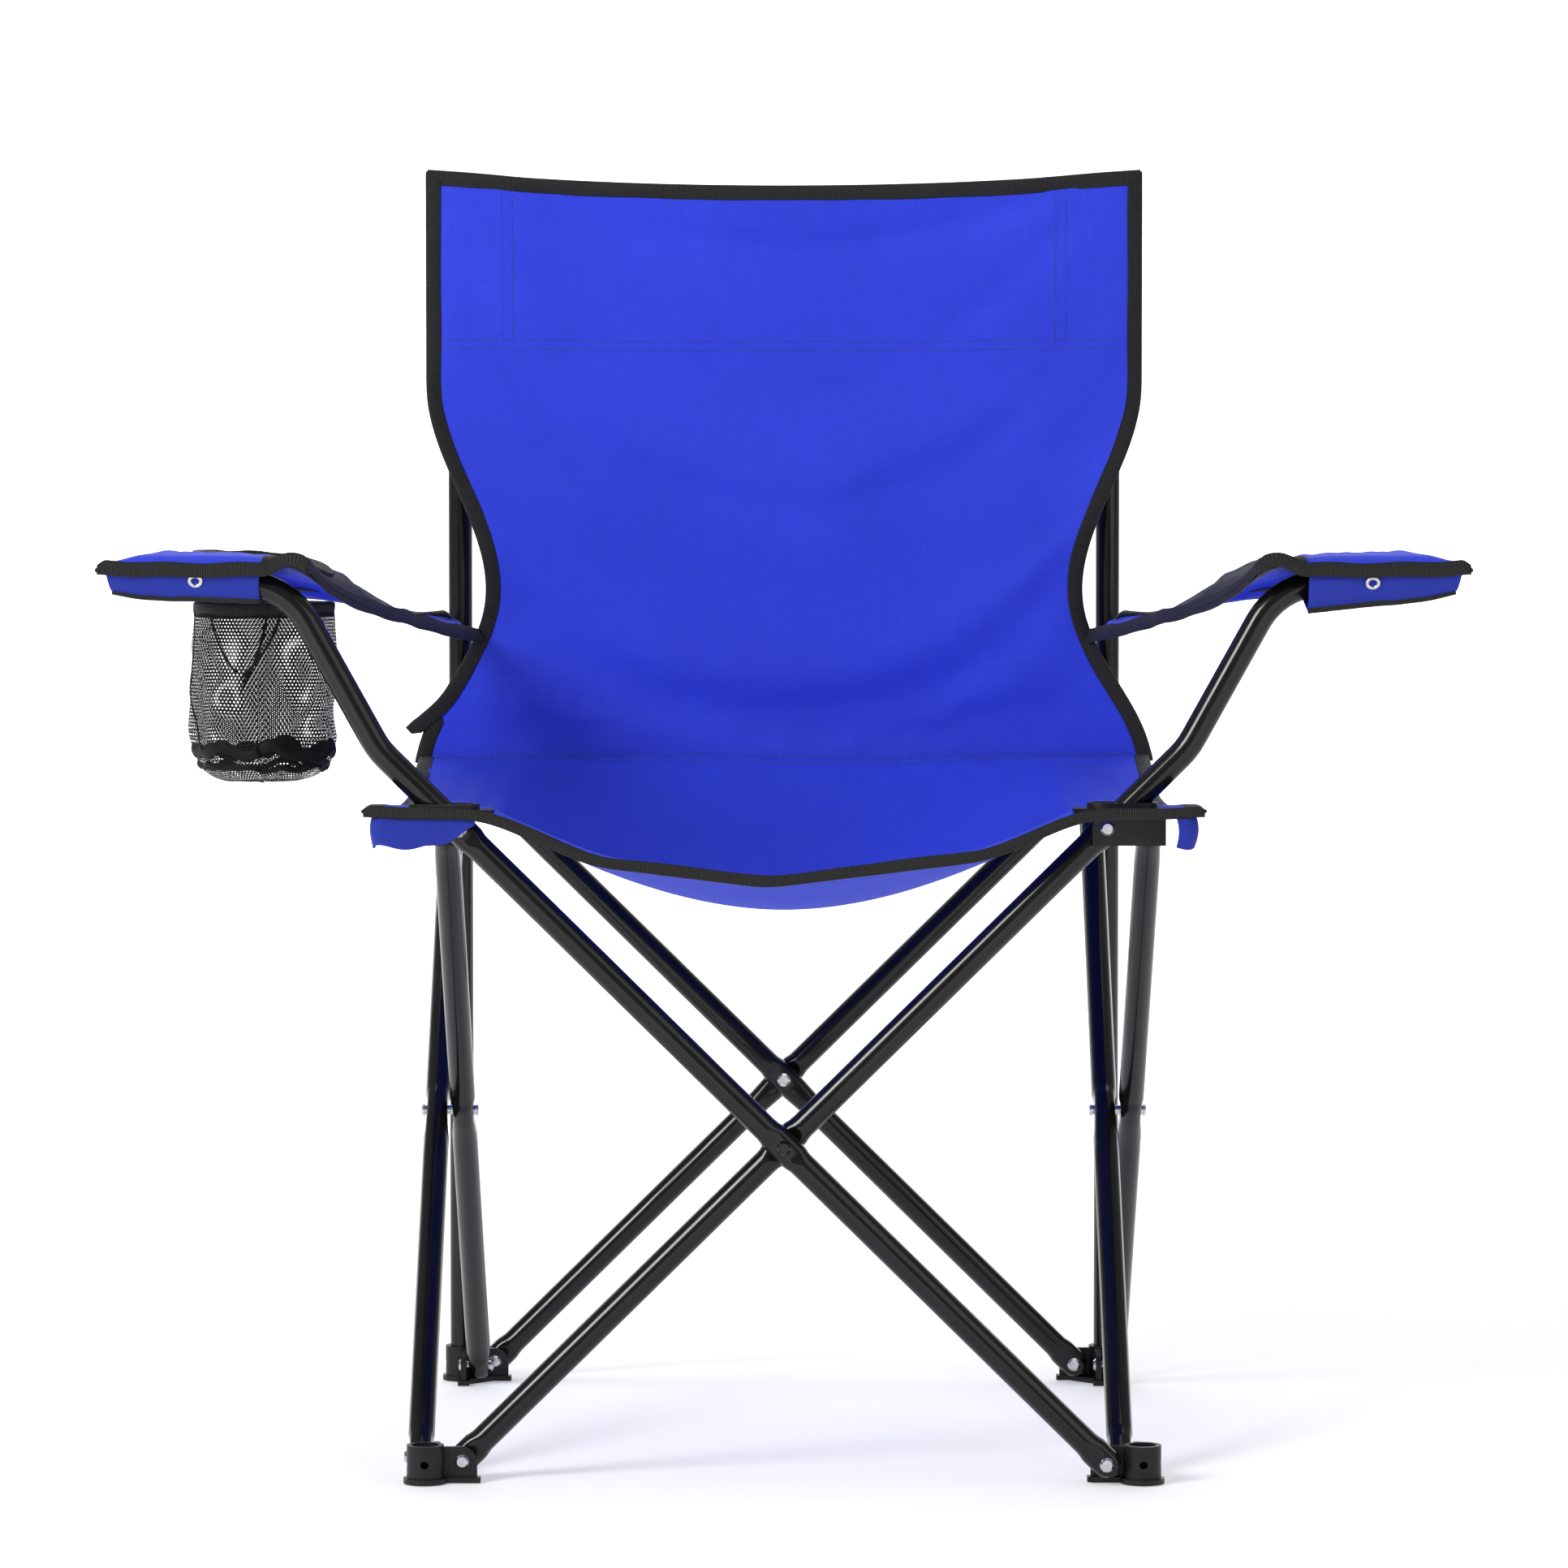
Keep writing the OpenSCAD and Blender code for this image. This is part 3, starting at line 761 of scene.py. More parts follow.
def sweep(stations: Sequence[Station], profile: Callable[[int, Station], Outline]) -> bmesh.types.BMesh:
    """Sweep a closed profile through stations, with its ends closed.

    Args:
        stations: The cross-sections, in order.
        profile: Gives the outline for a station, always with the same number of points.

    Returns:
        The mesh, with a UV map in metres: along the sweep and round the profile.
    """
    bm = bmesh.new()
    layer = bm.loops.layers.uv.new("weave")
    outline = profile(0, stations[0])
    first = [bm.verts.new(stations[0].point(*p)) for p in outline]
    count = len(first)
    edges = [bm.edges.new((first[i], first[(i + 1) % count])) for i in range(count)]
    first_edges = list(edges)
    # For each vertex, the number of its station and its place round the outline
    where = {v: (0, i) for i, v in enumerate(first)}
    for number, station in enumerate(stations[1:], 1):
        grown = bmesh.ops.extrude_edge_only(bm, edges=edges)["geom"]
        edges = [e for e in grown if isinstance(e, bmesh.types.BMEdge) and e.is_boundary]
        outline = profile(number, station)
        new = {}
        for vert in (v for v in grown if isinstance(v, bmesh.types.BMVert)):
            older = next(e.other_vert(vert) for e in vert.link_edges if e.other_vert(vert) in where)
            new[vert] = (number, where[older][1])
            vert.co = station.point(*outline[where[older][1]])
        where.update(new)
    girth = [0.0]
    for i in range(count):
        a, b = Vector(outline[i]), Vector(outline[(i + 1) % count])
        girth.append(girth[-1] + (b - a).length)
    for face in bm.faces:
        slots = [where[loop.vert][1] for loop in face.loops]
        wraps = max(slots) - min(slots) > 1
        for loop, slot in zip(face.loops, slots):
            place = count if wraps and slot == 0 else slot
            loop[layer].uv = (stations[where[loop.vert][0]].along, girth[place])
    last = {v for v in where if where[v][0] == len(stations) - 1}
    last_edges = [e for e in bm.edges if e.verts[0] in last and e.verts[1] in last]
    for rim in (first_edges, last_edges):
        bmesh.ops.contextual_create(bm, geom=rim)
    bmesh.ops.recalc_face_normals(bm, faces=bm.faces)
    return bm


# ---- Tubes ----


@dataclass
class Pressed:
    """A place where a round tube is pressed flat for a rivet."""

    at: float
    depth: float = 1.5 * MM
    reach: float = 17 * MM
    front: bool = True
    back: bool = True

    def amount(self, s: float) -> float:
        """How far the flat has sunk at a place along the tube, from 0 to 1."""
        return ease((self.reach - abs(s - self.at)) / (0.4 * self.reach))


@dataclass
class Tube:
    """A round steel tube along a line in one plane, pressed flat where rivets pass."""

    name: str
    node: str
    corners: list[Vector]
    pin_axis: Vector
    pressed: list[Pressed] = field(default_factory=list)
    radius: float = 8 * MM
    bend: float = 45 * MM
    fine: float = 2.5 * MM
    coarse: float = 14 * MM
    sides: int = 28
    round_ends: tuple[bool, bool] = (True, True)

    def line(self) -> list[Vector]:
        """The tube's middle line, its corners rounded.

        Returns:
            Points from end to end.
        """
        points = [self.corners[0]]
        for before, corner, after in zip(self.corners, self.corners[1:], self.corners[2:]):
            into, out = (corner - before).normalized(), (after - corner).normalized()
            turn = into.angle(out)
            back = self.bend * math.tan(turn / 2)
            centre = corner - into * back + (out - into * into.dot(out)).normalized() * self.bend
            start = corner - into * back - centre
            axis = into.cross(out).normalized()
            steps = max(6, round(math.degrees(turn) / 4))
            for k in range(steps + 1):
                points.append(centre + Matrix.Rotation(turn * k / steps, 3, axis) @ start)
        points.append(self.corners[-1])
        return points

    def resampled(self) -> list[Vector]:
        """The line with close points at the pressed places and ends, and few elsewhere.

        Returns:
            Points from end to end.
        """
        line = self.line()
        total = sum((b - a).length for a, b in zip(line, line[1:]))
        wanted, s = [], 0.0
        while s < total:
            wanted.append(s)
            near = min([abs(s - p.at) - p.reach for p in self.pressed] + [s, total - s - 0.01])
            s += self.fine if near < 0.006 else self.coarse
        wanted.append(total)
        points, run, i = [], 0.0, 0
        for s in wanted:
            while i < len(line) - 2 and run + (line[i + 1] - line[i]).length < s:
                run += (line[i + 1] - line[i]).length
                i += 1
            step = line[i + 1] - line[i]
            points.append(line[i] + step * min(max((s - run) / step.length, 0), 1))
        return points

    def build(self, material: Material) -> Piece:
        """Make the tube.

        Args:
            material: Its finish.

        Returns:
            The new piece, which stands for its CAD node.
        """
        points = self.resampled()
        stations = stations_on(points, [self.pin_axis] * len(points))
        total = stations[-1].along

        def outline(number: int, station: Station) -> Outline:
            """The tube's section, flat where it is pressed and smaller at a rounded end.

            Args:
                number: The station's number.
                station: The station.

            Returns:
                The section's points.
            """
            shrink = 1.0
            for near, rounds in zip((station.along, total - station.along), self.round_ends):
                if rounds and near < self.radius:
                    shrink = min(shrink, math.sqrt(max(1 - (1 - near / self.radius) ** 2, 0.02)))
            sunk = [(p, p.amount(station.along)) for p in self.pressed]
            front = max([0.0] + [p.depth * a for p, a in sunk if p.front])
            back = max([0.0] + [p.depth * a for p, a in sunk if p.back])
            spread = 1 + 0.35 * (front + back) / self.radius
            found = []
            for k in range(self.sides):
                turn = 2 * math.pi * k / self.sides
                py = max(min(self.radius * math.sin(turn), self.radius - back), front - self.radius)
                found.append((self.radius * math.cos(turn) * spread * shrink, py))
            return found

        piece = make_piece(self.name, sweep(stations, outline), material)
        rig.replaces(piece, self.node)
        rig.slot(piece, "tube")
        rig.ride(piece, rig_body(self.node))
        return piece


@dataclass
class TubeFrame:
    """The eight scissor tubes, two of which run on to the arms, and the two posts."""

    finishes: Finishes
    end_reach: float = 8.6 * MM
    arm_rise: float = 68 * MM
    arm_slope_len: float = 110 * MM
    arm_end_len: float = 68 * MM
    arm_slope: float = math.radians(61)
    arm_end_slope: float = math.radians(6)
    # Reach of the flat where two tubes cross, and where an arm tube passes its hub
    short_flat: float = 14 * MM

    def straight(self, node: str, low: Vector, high: Vector, pin_axis: Vector) -> Piece:
        """Make one scissor tube between its lower and upper pivots.

        Args:
            node: The CAD node it stands for.
            low: Lower pivot, on the tube's middle line.
            high: Upper pivot, on the tube's middle line.
            pin_axis: Direction of its rivets.

        Returns:
            The new piece.
        """
        along = (high - low).normalized()
        length = (high - low).length
        flats = [
            Pressed(self.end_reach),
            Pressed(self.end_reach + length / 2, reach=self.short_flat),
            Pressed(self.end_reach + length),
        ]
        ends = [low - along * self.end_reach, high + along * self.end_reach]
        return Tube(node + "_pressed", node, ends, pin_axis, flats).build(self.finishes.tube)

    def arm(self, side: Side, low: Vector, high: Vector) -> Piece:
        """Make a front tube that runs on past its hub and bends to carry an arm.

        Args:
            side: The arm that it carries.
            low: Lower pivot.
            high: Upper pivot.

        Returns:
            The new piece.
        """
        along = (high - low).normalized()
        out = RIGHT * side.value
        corners = [low - along * self.end_reach, high + along * self.arm_rise]
        for slope, run in ((self.arm_slope, self.arm_slope_len), (self.arm_end_slope, self.arm_end_len)):
            corners.append(corners[-1] + (out * math.cos(slope) + UP * math.sin(slope)) * run)
        length = (high - low).length
        flats = [
            Pressed(self.end_reach),
            Pressed(self.end_reach + length / 2, reach=self.short_flat),
            Pressed(self.end_reach + length, reach=self.short_flat),
        ]
        node = f"tube_front_to_{side.word}_arm"
        tube = Tube(node + "_pressed", node, corners, AWAY, flats, coarse=5 * MM, round_ends=(True, False))
        return tube.build(self.finishes.tube)

    def build(self) -> None:
        """Make every tube and dress the posts."""
        foot = joint_place("fold")
        hub = joint_place("rear_right_hub_pivot")
        low_z, high_z, reach = foot.z, hub.z, hub.x
        for node, sign in (("tube_rear_outer", 1), ("tube_rear_inner", -1)):
            y = middle(node).y
            self.straight(node, Vector((-sign * reach, y, low_z)), Vector((sign * reach, y, high_z)), AWAY)
        front_y = joint_place("front_left_foot_pivot").y
        rear_y = joint_place("left_inner_foot_pivot").y
        for node, to_front in (
            ("tube_left_inner", True),
            ("tube_left_outer", False),
            ("tube_right_outer", True),
            ("tube_right_inner", False),
        ):
            x = middle(node).x
            a, b = (rear_y, front_y) if to_front else (front_y, rear_y)
            self.straight(node, Vector((x, a, low_z)), Vector((x, b, high_z)), RIGHT)
        for side in Side:
            y = middle(f"tube_front_to_{side.word}_arm").y
            self.arm(side, Vector((-side.value * reach, y, low_z)), Vector((side.value * reach, y, high_z)))
        for side in Side:
            dress(f"post_{side.word}", self.finishes.tube)
        log.info("tube frame: 8 scissor tubes and 2 posts")


def dress(node: str, material: Material) -> None:
    """Give a CAD node its finish."""
    for slot in frame["nodes"][node].material_slots:
        slot.material = material


@dataclass
class Hardware:
    """Feet, hubs, plates, caps and rivets, which keep their CAD shapes."""

    finishes: Finishes

    def build(self) -> None:
        """Dress every hard node that is not a tube."""
        count = 0
        for node in frame["nodes"]:
            # The front crossing rivet takes the black tube finish as painted shade; the other rivets are bright plated
            # steel
            if node == "cross_rivet_front":
                dress(node, self.finishes.tube)
            elif "rivet" in node:
                dress(node, self.finishes.rivet)
            elif node.startswith(("foot_", "hub_", "post_cap", "arm_plug", "seat_plate")):
                dress(node, self.finishes.moulding)
            else:
                continue
            count += 1
        log.info("hardware: %d nodes dressed", count)


# ---- Cloth ----


@dataclass
class Panel:
    """A cut of cloth: a grid that starts on a surface and is then hung."""

    name: str
    across: int
    along: int
    size: tuple[float, float]
    place: Callable[[float, float], Vector]

    def build(self, material: Material) -> Piece:
        """Make the flat grid on its surface.

        Args:
            material: Its finish.

        Returns:
            The new piece, with a UV map in metres and each vertex's u and v kept as attributes.
        """
        bm = bmesh.new()
        bmesh.ops.create_grid(bm, x_segments=self.across, y_segments=self.along, size=0.5)
        layer = bm.loops.layers.uv.new("weave")
        u_layer = bm.verts.layers.float.new("u")
        v_layer = bm.verts.layers.float.new("v")
        shares = {v: (v.co.x + 0.5, v.co.y + 0.5) for v in bm.verts}
        for face in bm.faces:
            for loop in face.loops:
                u, v = shares[loop.vert]
                loop[layer].uv = (u * self.size[0], v * self.size[1])
        for vert, (u, v) in shares.items():
            vert[u_layer], vert[v_layer] = u, v
            vert.co = self.place(u, v)
        return make_piece(self.name, bm, material)


def shares_of(piece: Piece) -> list[tuple[float, float]]:
    """The u and v that each of a panel's vertices was cut at."""
    us, vs = (piece.data.attributes[name].data for name in ("u", "v"))
    return [(u.value, v.value) for u, v in zip(us, vs)]


@dataclass
class Hanging:
    """How a panel is left to hang: cloth simulation with some of its points held."""

    steps: int = 24
    slack: float = 0.006
    stiffness: float = 30.0
    bending: float = 0.4
    mass: float = 0.05
    cap: float = 14 * MM

    def apply(self, piece: Piece, held: OnCloth) -> None:
        """Hang the piece and keep the result.

        Args:
            piece: The panel.
            held: How firmly the point at (u, v) is held, from 0 to 1.
        """
        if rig.quick():
            return
        group = piece.vertex_groups.new(name="held")
        for i, (u, v) in enumerate(shares_of(piece)):
            group.add([i], max(0.0, min(1.0, held(u, v))), "REPLACE")
        rest = [v.co.copy() for v in piece.data.vertices]
        modifier = piece.modifiers.new("hang", "CLOTH")
        settings = modifier.settings
        settings.vertex_group_mass = "held"
        settings.mass = self.mass
        settings.quality = 8
        settings.tension_stiffness = settings.compression_stiffness = self.stiffness
        settings.shear_stiffness = self.stiffness / 2
        settings.bending_stiffness = self.bending
        settings.tension_damping = 12
        settings.air_damping = 2
        settings.shrink_min = -self.slack
        modifier.collision_settings.use_collision = False
        modifier.point_cache.frame_start = 1
        modifier.point_cache.frame_end = self.steps
        scene = bpy.context.scene
        for step in range(1, self.steps + 1):
            scene.frame_set(step)
        ready = piece.evaluated_get(bpy.context.evaluated_depsgraph_get())
        moved = [v.co.copy() for v in ready.data.vertices]
        piece.modifiers.remove(modifier)
        piece.vertex_groups.remove(group)
        for vert, old, new in zip(piece.data.vertices, rest, moved):
            shift = new - old
            if shift.length > self.cap:
                shift *= self.cap / shift.length
            vert.co = old + shift
        scene.frame_set(1)


def bake_modifiers(piece: Piece) -> None:
    """Turn a piece's modifiers into its mesh.

    Args:
        piece: The piece.
    """
    bpy.context.view_layer.update()
    ready = piece.evaluated_get(bpy.context.evaluated_depsgraph_get())
    mesh = bpy.data.meshes.new_from_object(ready)
    old = piece.data
    piece.modifiers.clear()
    piece.data = mesh
    bpy.data.meshes.remove(old)


def refine(piece: Piece) -> None:
    """Smooth a panel by one step of subdivision and keep the result.

    Args:
        piece: The panel.
    """
    modifier = piece.modifiers.new("smooth", "SUBSURF")
    modifier.levels = modifier.render_levels = 1
    modifier.boundary_smooth = "PRESERVE_CORNERS"
    bake_modifiers(piece)


def thicken(piece: Piece, thickness: float) -> None:
    """Give a panel its cloth's thickness, half to each side.

    Args:
        piece: The panel.
        thickness: The thickness.
    """
    modifier = piece.modifiers.new("thickness", "SOLIDIFY")
    modifier.thickness = thickness
    modifier.offset = 0.0
    modifier.use_even_offset = False
    bake_modifiers(piece)


def edge_line(piece: Piece, keep: Callable[[float, float], bool], order: OnCloth) -> Line:
    """The points of a panel along one of its edges, in order, with the cloth's normals there.

    Args:
        piece: The panel.
        keep: Whether the point at (u, v) is on the edge.
        order: A key to sort the points by.

    Returns:
        The points and their normals.
    """
    rows = []
    for vert, (u, v) in zip(piece.data.vertices, shares_of(piece)):
        if keep(u, v):
            rows.append((order(u, v), vert.co.copy(), vert.normal.copy()))
    rows.sort(key=lambda row: row[0])
    return parted([row[1:] for row in rows])


def smoothed(values: Sequence[Vector], reach: int) -> list[Vector]:
    """Smooth a list of vectors.

    Args:
        values: The vectors.
        reach: How many neighbours to each side count, and fewer near an end.

    Returns:
        Each vector's average with its neighbours.
    """
    found = []
    for i in range(len(values)):
        near = min(reach, i, len(values) - 1 - i)
        chosen = values[i - near:i + near + 1]
        found.append(sum(chosen, Vector()) / len(chosen))
    return found


@dataclass
class Binding:
    """Ribbed tape folded over an edge of cloth and sewn through."""

    name: str
    reach: float = 8.5 * MM
    thickness: float = 2.4 * MM
    over: float = 1.2 * MM
    wave: float = 0.5 * MM
    seed: float = 1.0

    def build(
        self,
        points: list[Vector],
        normals: Vector | list[Vector],
        inward: Vector | list[Vector],
        material: Material,
    ) -> Piece:
        """Make the tape.

        Args:
            points: The cloth's edge.
            normals: The cloth's normals along it, or one for all of it.
            inward: Directions into the cloth, or one for all of it.
            material: Its finish.

        Returns:
            The new piece.
        """
        normals, inward = each(normals, len(points)), each(inward, len(points))
        line = smoothed([p - d.normalized() * self.over for p, d in zip(points, inward)], 2)
        stations = stations_on(line, smoothed(normals, 4))
        half = self.thickness / 2
        nose = 4

        def outline(number: int, station: Station) -> Outline:
            """The folded tape's section.

            Args:
                number: The station's number.
                station: The station.

            Returns:
                The section's points: the top leaf, the under leaf and the fold over the edge.
            """
            sign = 1.0 if station.x.dot(inward[number]) > 0 else -1.0
            shake = self.wave * wobble(station.along, self.seed, 0.03)
            width = self.reach + self.over + self.wave * wobble(station.along, self.seed + 5, 0.05)
            width *= min(1.0, 0.6 + 0.4 * min(station.along, stations[-1].along - station.along) / 0.004)
            lift = 0.3 * half * wobble(station.along, self.seed + 9, 0.02)
            top = []
            for t in (0.12, 0.4, 0.7, 0.9, 1.0):
                top.append((sign * (width + shake) * t, half * (1.0 if t < 0.9 else 0.75) + lift))
            under = [(x, -y + 2 * lift) for x, y in reversed(top)]
            fold = []
            for k in range(1, nose):
                turn = math.pi * k / nose
                fold.append((sign * 0.12 * width * (1 - 1.2 * math.sin(turn)), -half * math.cos(turn) + lift))
            return top + under + fold

        return make_piece(self.name, sweep(stations, outline), material)


def cut_round(piece: Piece, centre: Vector, radius: float) -> None:
    """Cut a round hole straight down through a piece.

    Args:
        piece: The piece to cut.
        centre: The hole's middle.
        radius: The hole's radius.
    """
    bm = bmesh.new()
    bmesh.ops.create_cone(bm, cap_ends=True, segments=64, radius1=radius, radius2=radius, depth=0.2)
    bmesh.ops.translate(bm, verts=bm.verts, vec=centre)
    cutter = make_piece("cutter", bm, piece.data.materials[0], smooth=False)
    modifier = piece.modifiers.new("hole", "BOOLEAN")
    modifier.operation = "DIFFERENCE"
    modifier.object = cutter
    modifier.solver = "EXACT"
    bake_modifiers(piece)
    bpy.data.objects.remove(cutter)


@dataclass
class StitchRow:
    """A row of short raised stitches along a line on the cloth."""

    name: str
    pitch: float = 3.2 * MM
    length: float = 2.3 * MM
    thick: float = 0.6 * MM

    def build(self, rows: Sequence[Line], material: Material) -> Piece:
        """Make the stitches.

        Args:
            rows: Lines with the cloth's normals along them.
            material: The thread.

        Returns:
            The new piece.
        """
        bm = bmesh.new()
        for points, normals in rows:
            spaced = even_points(points, normals, self.pitch)
            for (a, normal), (b, _) in zip(spaced, spaced[1:]):
                along = (b - a).normalized()
                across = normal.cross(along).normalized()
                turn = Matrix((along, across, normal)).transposed().to_4x4()
                made = bmesh.ops.create_icosphere(bm, subdivisions=1, radius=0.5)
                shape = Matrix.Diagonal((self.length, self.thick, self.thick, 1))
                place = Matrix.Translation((a + b) / 2 + normal * self.thick * 0.25)
                bmesh.ops.transform(bm, matrix=place @ turn @ shape, verts=made["verts"])
        return make_piece(self.name, bm, material)


def even_points(points: list[Vector], normals: list[Vector], pitch: float) -> list[tuple[Vector, Vector]]:
    """Places at even steps along a line.

    Args:
        points: The line.
        normals: A normal for each point.
        pitch: The step.

    Returns:
        The places with their normals.
    """
    found, want, run = [], 0.0, 0.0
    for a, b, na, nb in zip(points, points[1:], normals, normals[1:]):
        length = (b - a).length
        while length > 0 and want <= run + length:
            t = (want - run) / length
            found.append((a.lerp(b, t), na.lerp(nb, t).normalized()))
            want += pitch
        run += length
    return found


@dataclass
class BackPanel:
    """The sling back: cloth between the posts, its corners sewn into pockets."""

    finishes: Finishes
    thickness: float = 1.2 * MM
    tail_z: float = 0.438
    shoulder_half: float = 0.236
    waist_half: float = 0.196
    foot_half: float = 0.244
    waist_z: float = 0.530
    # The flat cloth's width, and the mean width of the outline that is cut from it
    flat_width: float = 0.48
    mean_width: float = 0.43

    def build(self) -> None:
        """Cut, hang, bind and stitch the back."""
        low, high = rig.box("back_panel")
        self.low, self.high = low, high
        self.top_z, self.bottom_z = high.z, low.z - 0.002
        drop = self.top_z - self.bottom_z
        panel = Panel("back_cloth", 64, 56, (self.flat_width, drop), self.place)
        piece = panel.build(self.finishes.cloth)
        Hanging(steps=16, slack=0.003, cap=3 * MM).apply(piece, self.held)
        refine(piece)
        self.bind(piece)
        self.stitch(piece)
        thicken(piece, self.thickness)
        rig.sheet(
            piece,
            flat=(self.flat_width, drop),
            held="hung",
            rests_on=["post_left", "post_right"],
            area=self.mean_width * drop,
        )
        self.hold(piece)
        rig.replaces(piece, "back_panel")
        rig.slot(piece, "cloth")
        log.info("back panel: %d faces", len(piece.data.polygons))

    def half(self, z: float) -> float:
        """Half the panel's width at a height, in metres."""
        if z > self.waist_z:
            return mix(self.waist_half, self.shoulder_half, ease((z - self.waist_z) / 0.134))
        return mix(self.waist_half, self.foot_half, ease((self.waist_z - z) / 0.118) ** 1.1)

    def place(self, u: float, v: float) -> Vector:
        """The panel's surface before it hangs.

        Args:
            u: Share across, from the left.
            v: Share up, from the seam.

        Returns:
            The point.
        """
        w = 2 * u - 1
        top = self.top_z - 0.009 * (1 - w * w)
        z = mix(self.bottom_z, top, v)
        depth = mix(self.low.y + 0.0025, self.high.y - 0.001, ease((z - 0.560) / 0.13))
        bow = 0.007 * (1 - w * w) * math.sin(math.pi * min(max(v, 0), 1)) ** 0.8
        x = w * self.half(z)
        post = -0.0022 * bump_at(abs(x), 0.214, 0.026) * ease((z - 0.66) / 0.03)
        near_seams = math.exp(-abs(z - 0.692) / 0.016) + 1.5 * math.exp(-abs(z - 0.42) / 0.02)
        puckers = 0.0007 * wobble(x, 21.0, 0.02) * near_seams
        top_puckers = 0.0008 * wobble(x, 23.0, 0.03) * math.exp(-abs(z - top) / 0.02)
        creases = 0.0012 * wobble(x + 0.5 * z, 25.0, 0.05) * bump_at(abs(w), 0.95, 0.5) * bump_at(z, 0.5, 0.16)
        seam = 0.0022 * (wobble(x, 31.0, 0.16) - 1.0) * ease((0.45 - z) / 0.03)
        return Vector((x, depth + bow + post + puckers + top_puckers + creases, z + seam))

    def held(self, u: float, v: float) -> float:
        """How firmly a point is held: by the pockets, the seam and the arm straps."""
        w = abs(2 * u - 1)
        pocket = 1.0 if v > 0.72 and w > 0.86 else 0.0
        seam = 1.0 if v < 0.02 else 0.0
        edge = 1.0 if w > 0.97 else 0.0
        return max(pocket, seam, edge)

    def hold(self, piece: Piece) -> None:
        """Make a piece ride and gather with the back as the frame closes."""
        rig.ride(piece, "rear_left_post")
        anchor = middle("post_left")
        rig.squash(piece, "fold", axis=(1, 0, 0), anchor=tuple(anchor), keep=SOFT_KEEP)

    def bind(self, piece: Piece) -> None:
        """Tape the panel's sides and top."""
        left = edge_line(piece, lambda u, v: u < ON_EDGE, lambda u, v: v)
        right = edge_line(piece, lambda u, v: u > 1 - ON_EDGE, lambda u, v: v)
        top = edge_line(piece, lambda u, v: v > 1 - ON_EDGE, lambda u, v: u)
        for name, line, inward in (("left", left, RIGHT), ("right", right, -RIGHT), ("top", top, -UP)):
            if name == "left":
                line = parted([(self.loose_end(p), n) for p, n in zip(*left) if p.z > self.tail_z])
                self.lower_side(left)
            binding = Binding(f"back_binding_{name}", thickness=3.0 * MM, seed=len(name))
            tape = binding.build(*line, inward, self.finishes.tape)
            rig.slot(tape, "cloth")
            self.hold(tape)

    def lower_side(self, edge: Line) -> None:
        """Tape the left side below the loose end with its own short length.

        Args:
            edge: The side's points and normals.
        """
        line = parted([(p, n) for p, n in zip(*edge) if p.z < self.tail_z + 0.012])
        binding = Binding("back_binding_low", thickness=2.6 * MM, seed=9.0)
        tape = binding.build(*line, RIGHT, self.finishes.tape)
        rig.slot(tape, "cloth")
        self.hold(tape)

    def loose_end(self, point: Vector) -> Vector:
        """Where the left tape runs: it leaves the cloth near its lower end and stands off as a loose end."""
        leave = ease((self.tail_z + 0.02 - point.z) / 0.022)
        return point + Vector((-0.013, -0.003, 0.0)) * leave

    def row(self, piece: Piece, keep: OnCloth, order: OnCloth, span: tuple[float, float]) -> Line:
        """The points of the front face nearest a curve u, v where keep is 0.

        Args:
            piece: The panel.
            keep: Signed distance of (u, v) from the curve.
            order: The place along the curve.
            span: Where along it the row starts and ends.

        Returns:
            Points in front of the cloth and their normals.
        """
        rows = []
        mesh = piece.data
        shares = shares_of(piece)
        for edge in mesh.edges:
            a, b = edge.vertices
            da, db = keep(*shares[a]), keep(*shares[b])
            if da * db < 0 or da == 0:
                t = 0.0 if da == db else da / (da - db)
                va, vb = mesh.vertices[a], mesh.vertices[b]
                at = mix(order(*shares[a]), order(*shares[b]), t)
                if span[0] <= at <= span[1]:
                    rows.append((at, va.co.lerp(vb.co, t), va.normal.lerp(vb.normal, t)))
        rows.sort(key=lambda r: r[0])
        front = [(p, n if n.y < 0 else -n) for _, p, n in rows]
        return parted([(p + n * self.thickness / 2, n) for p, n in front])

    def stitch(self, piece: Piece) -> None:
        """Sew the two full-width rows under the pockets and the pockets' own double rows."""
        def level(z: float) -> OnCloth:
            """How far each place is above a height."""
            return lambda u, v: self.place(u, v).z - z

        def upright(x: float) -> OnCloth:
            """How far each place is to the right of an upright line."""
            return lambda u, v: self.place(u, v).x - x

        rows = [self.row(piece, level(z), lambda u, v: u, (0.02, 0.98)) for z in (0.695, 0.689)]
        bottom = (0.695 - self.bottom_z) / (self.top_z - self.bottom_z)
        for x in (-0.187, -0.180, 0.180, 0.187):
            rows.append(self.row(piece, upright(x), lambda u, v: v, (bottom, 0.985)))
        sewn = StitchRow("back_stitching").build(rows, self.finishes.thread)
        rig.slot(sewn, "cloth")
        self.hold(sewn)


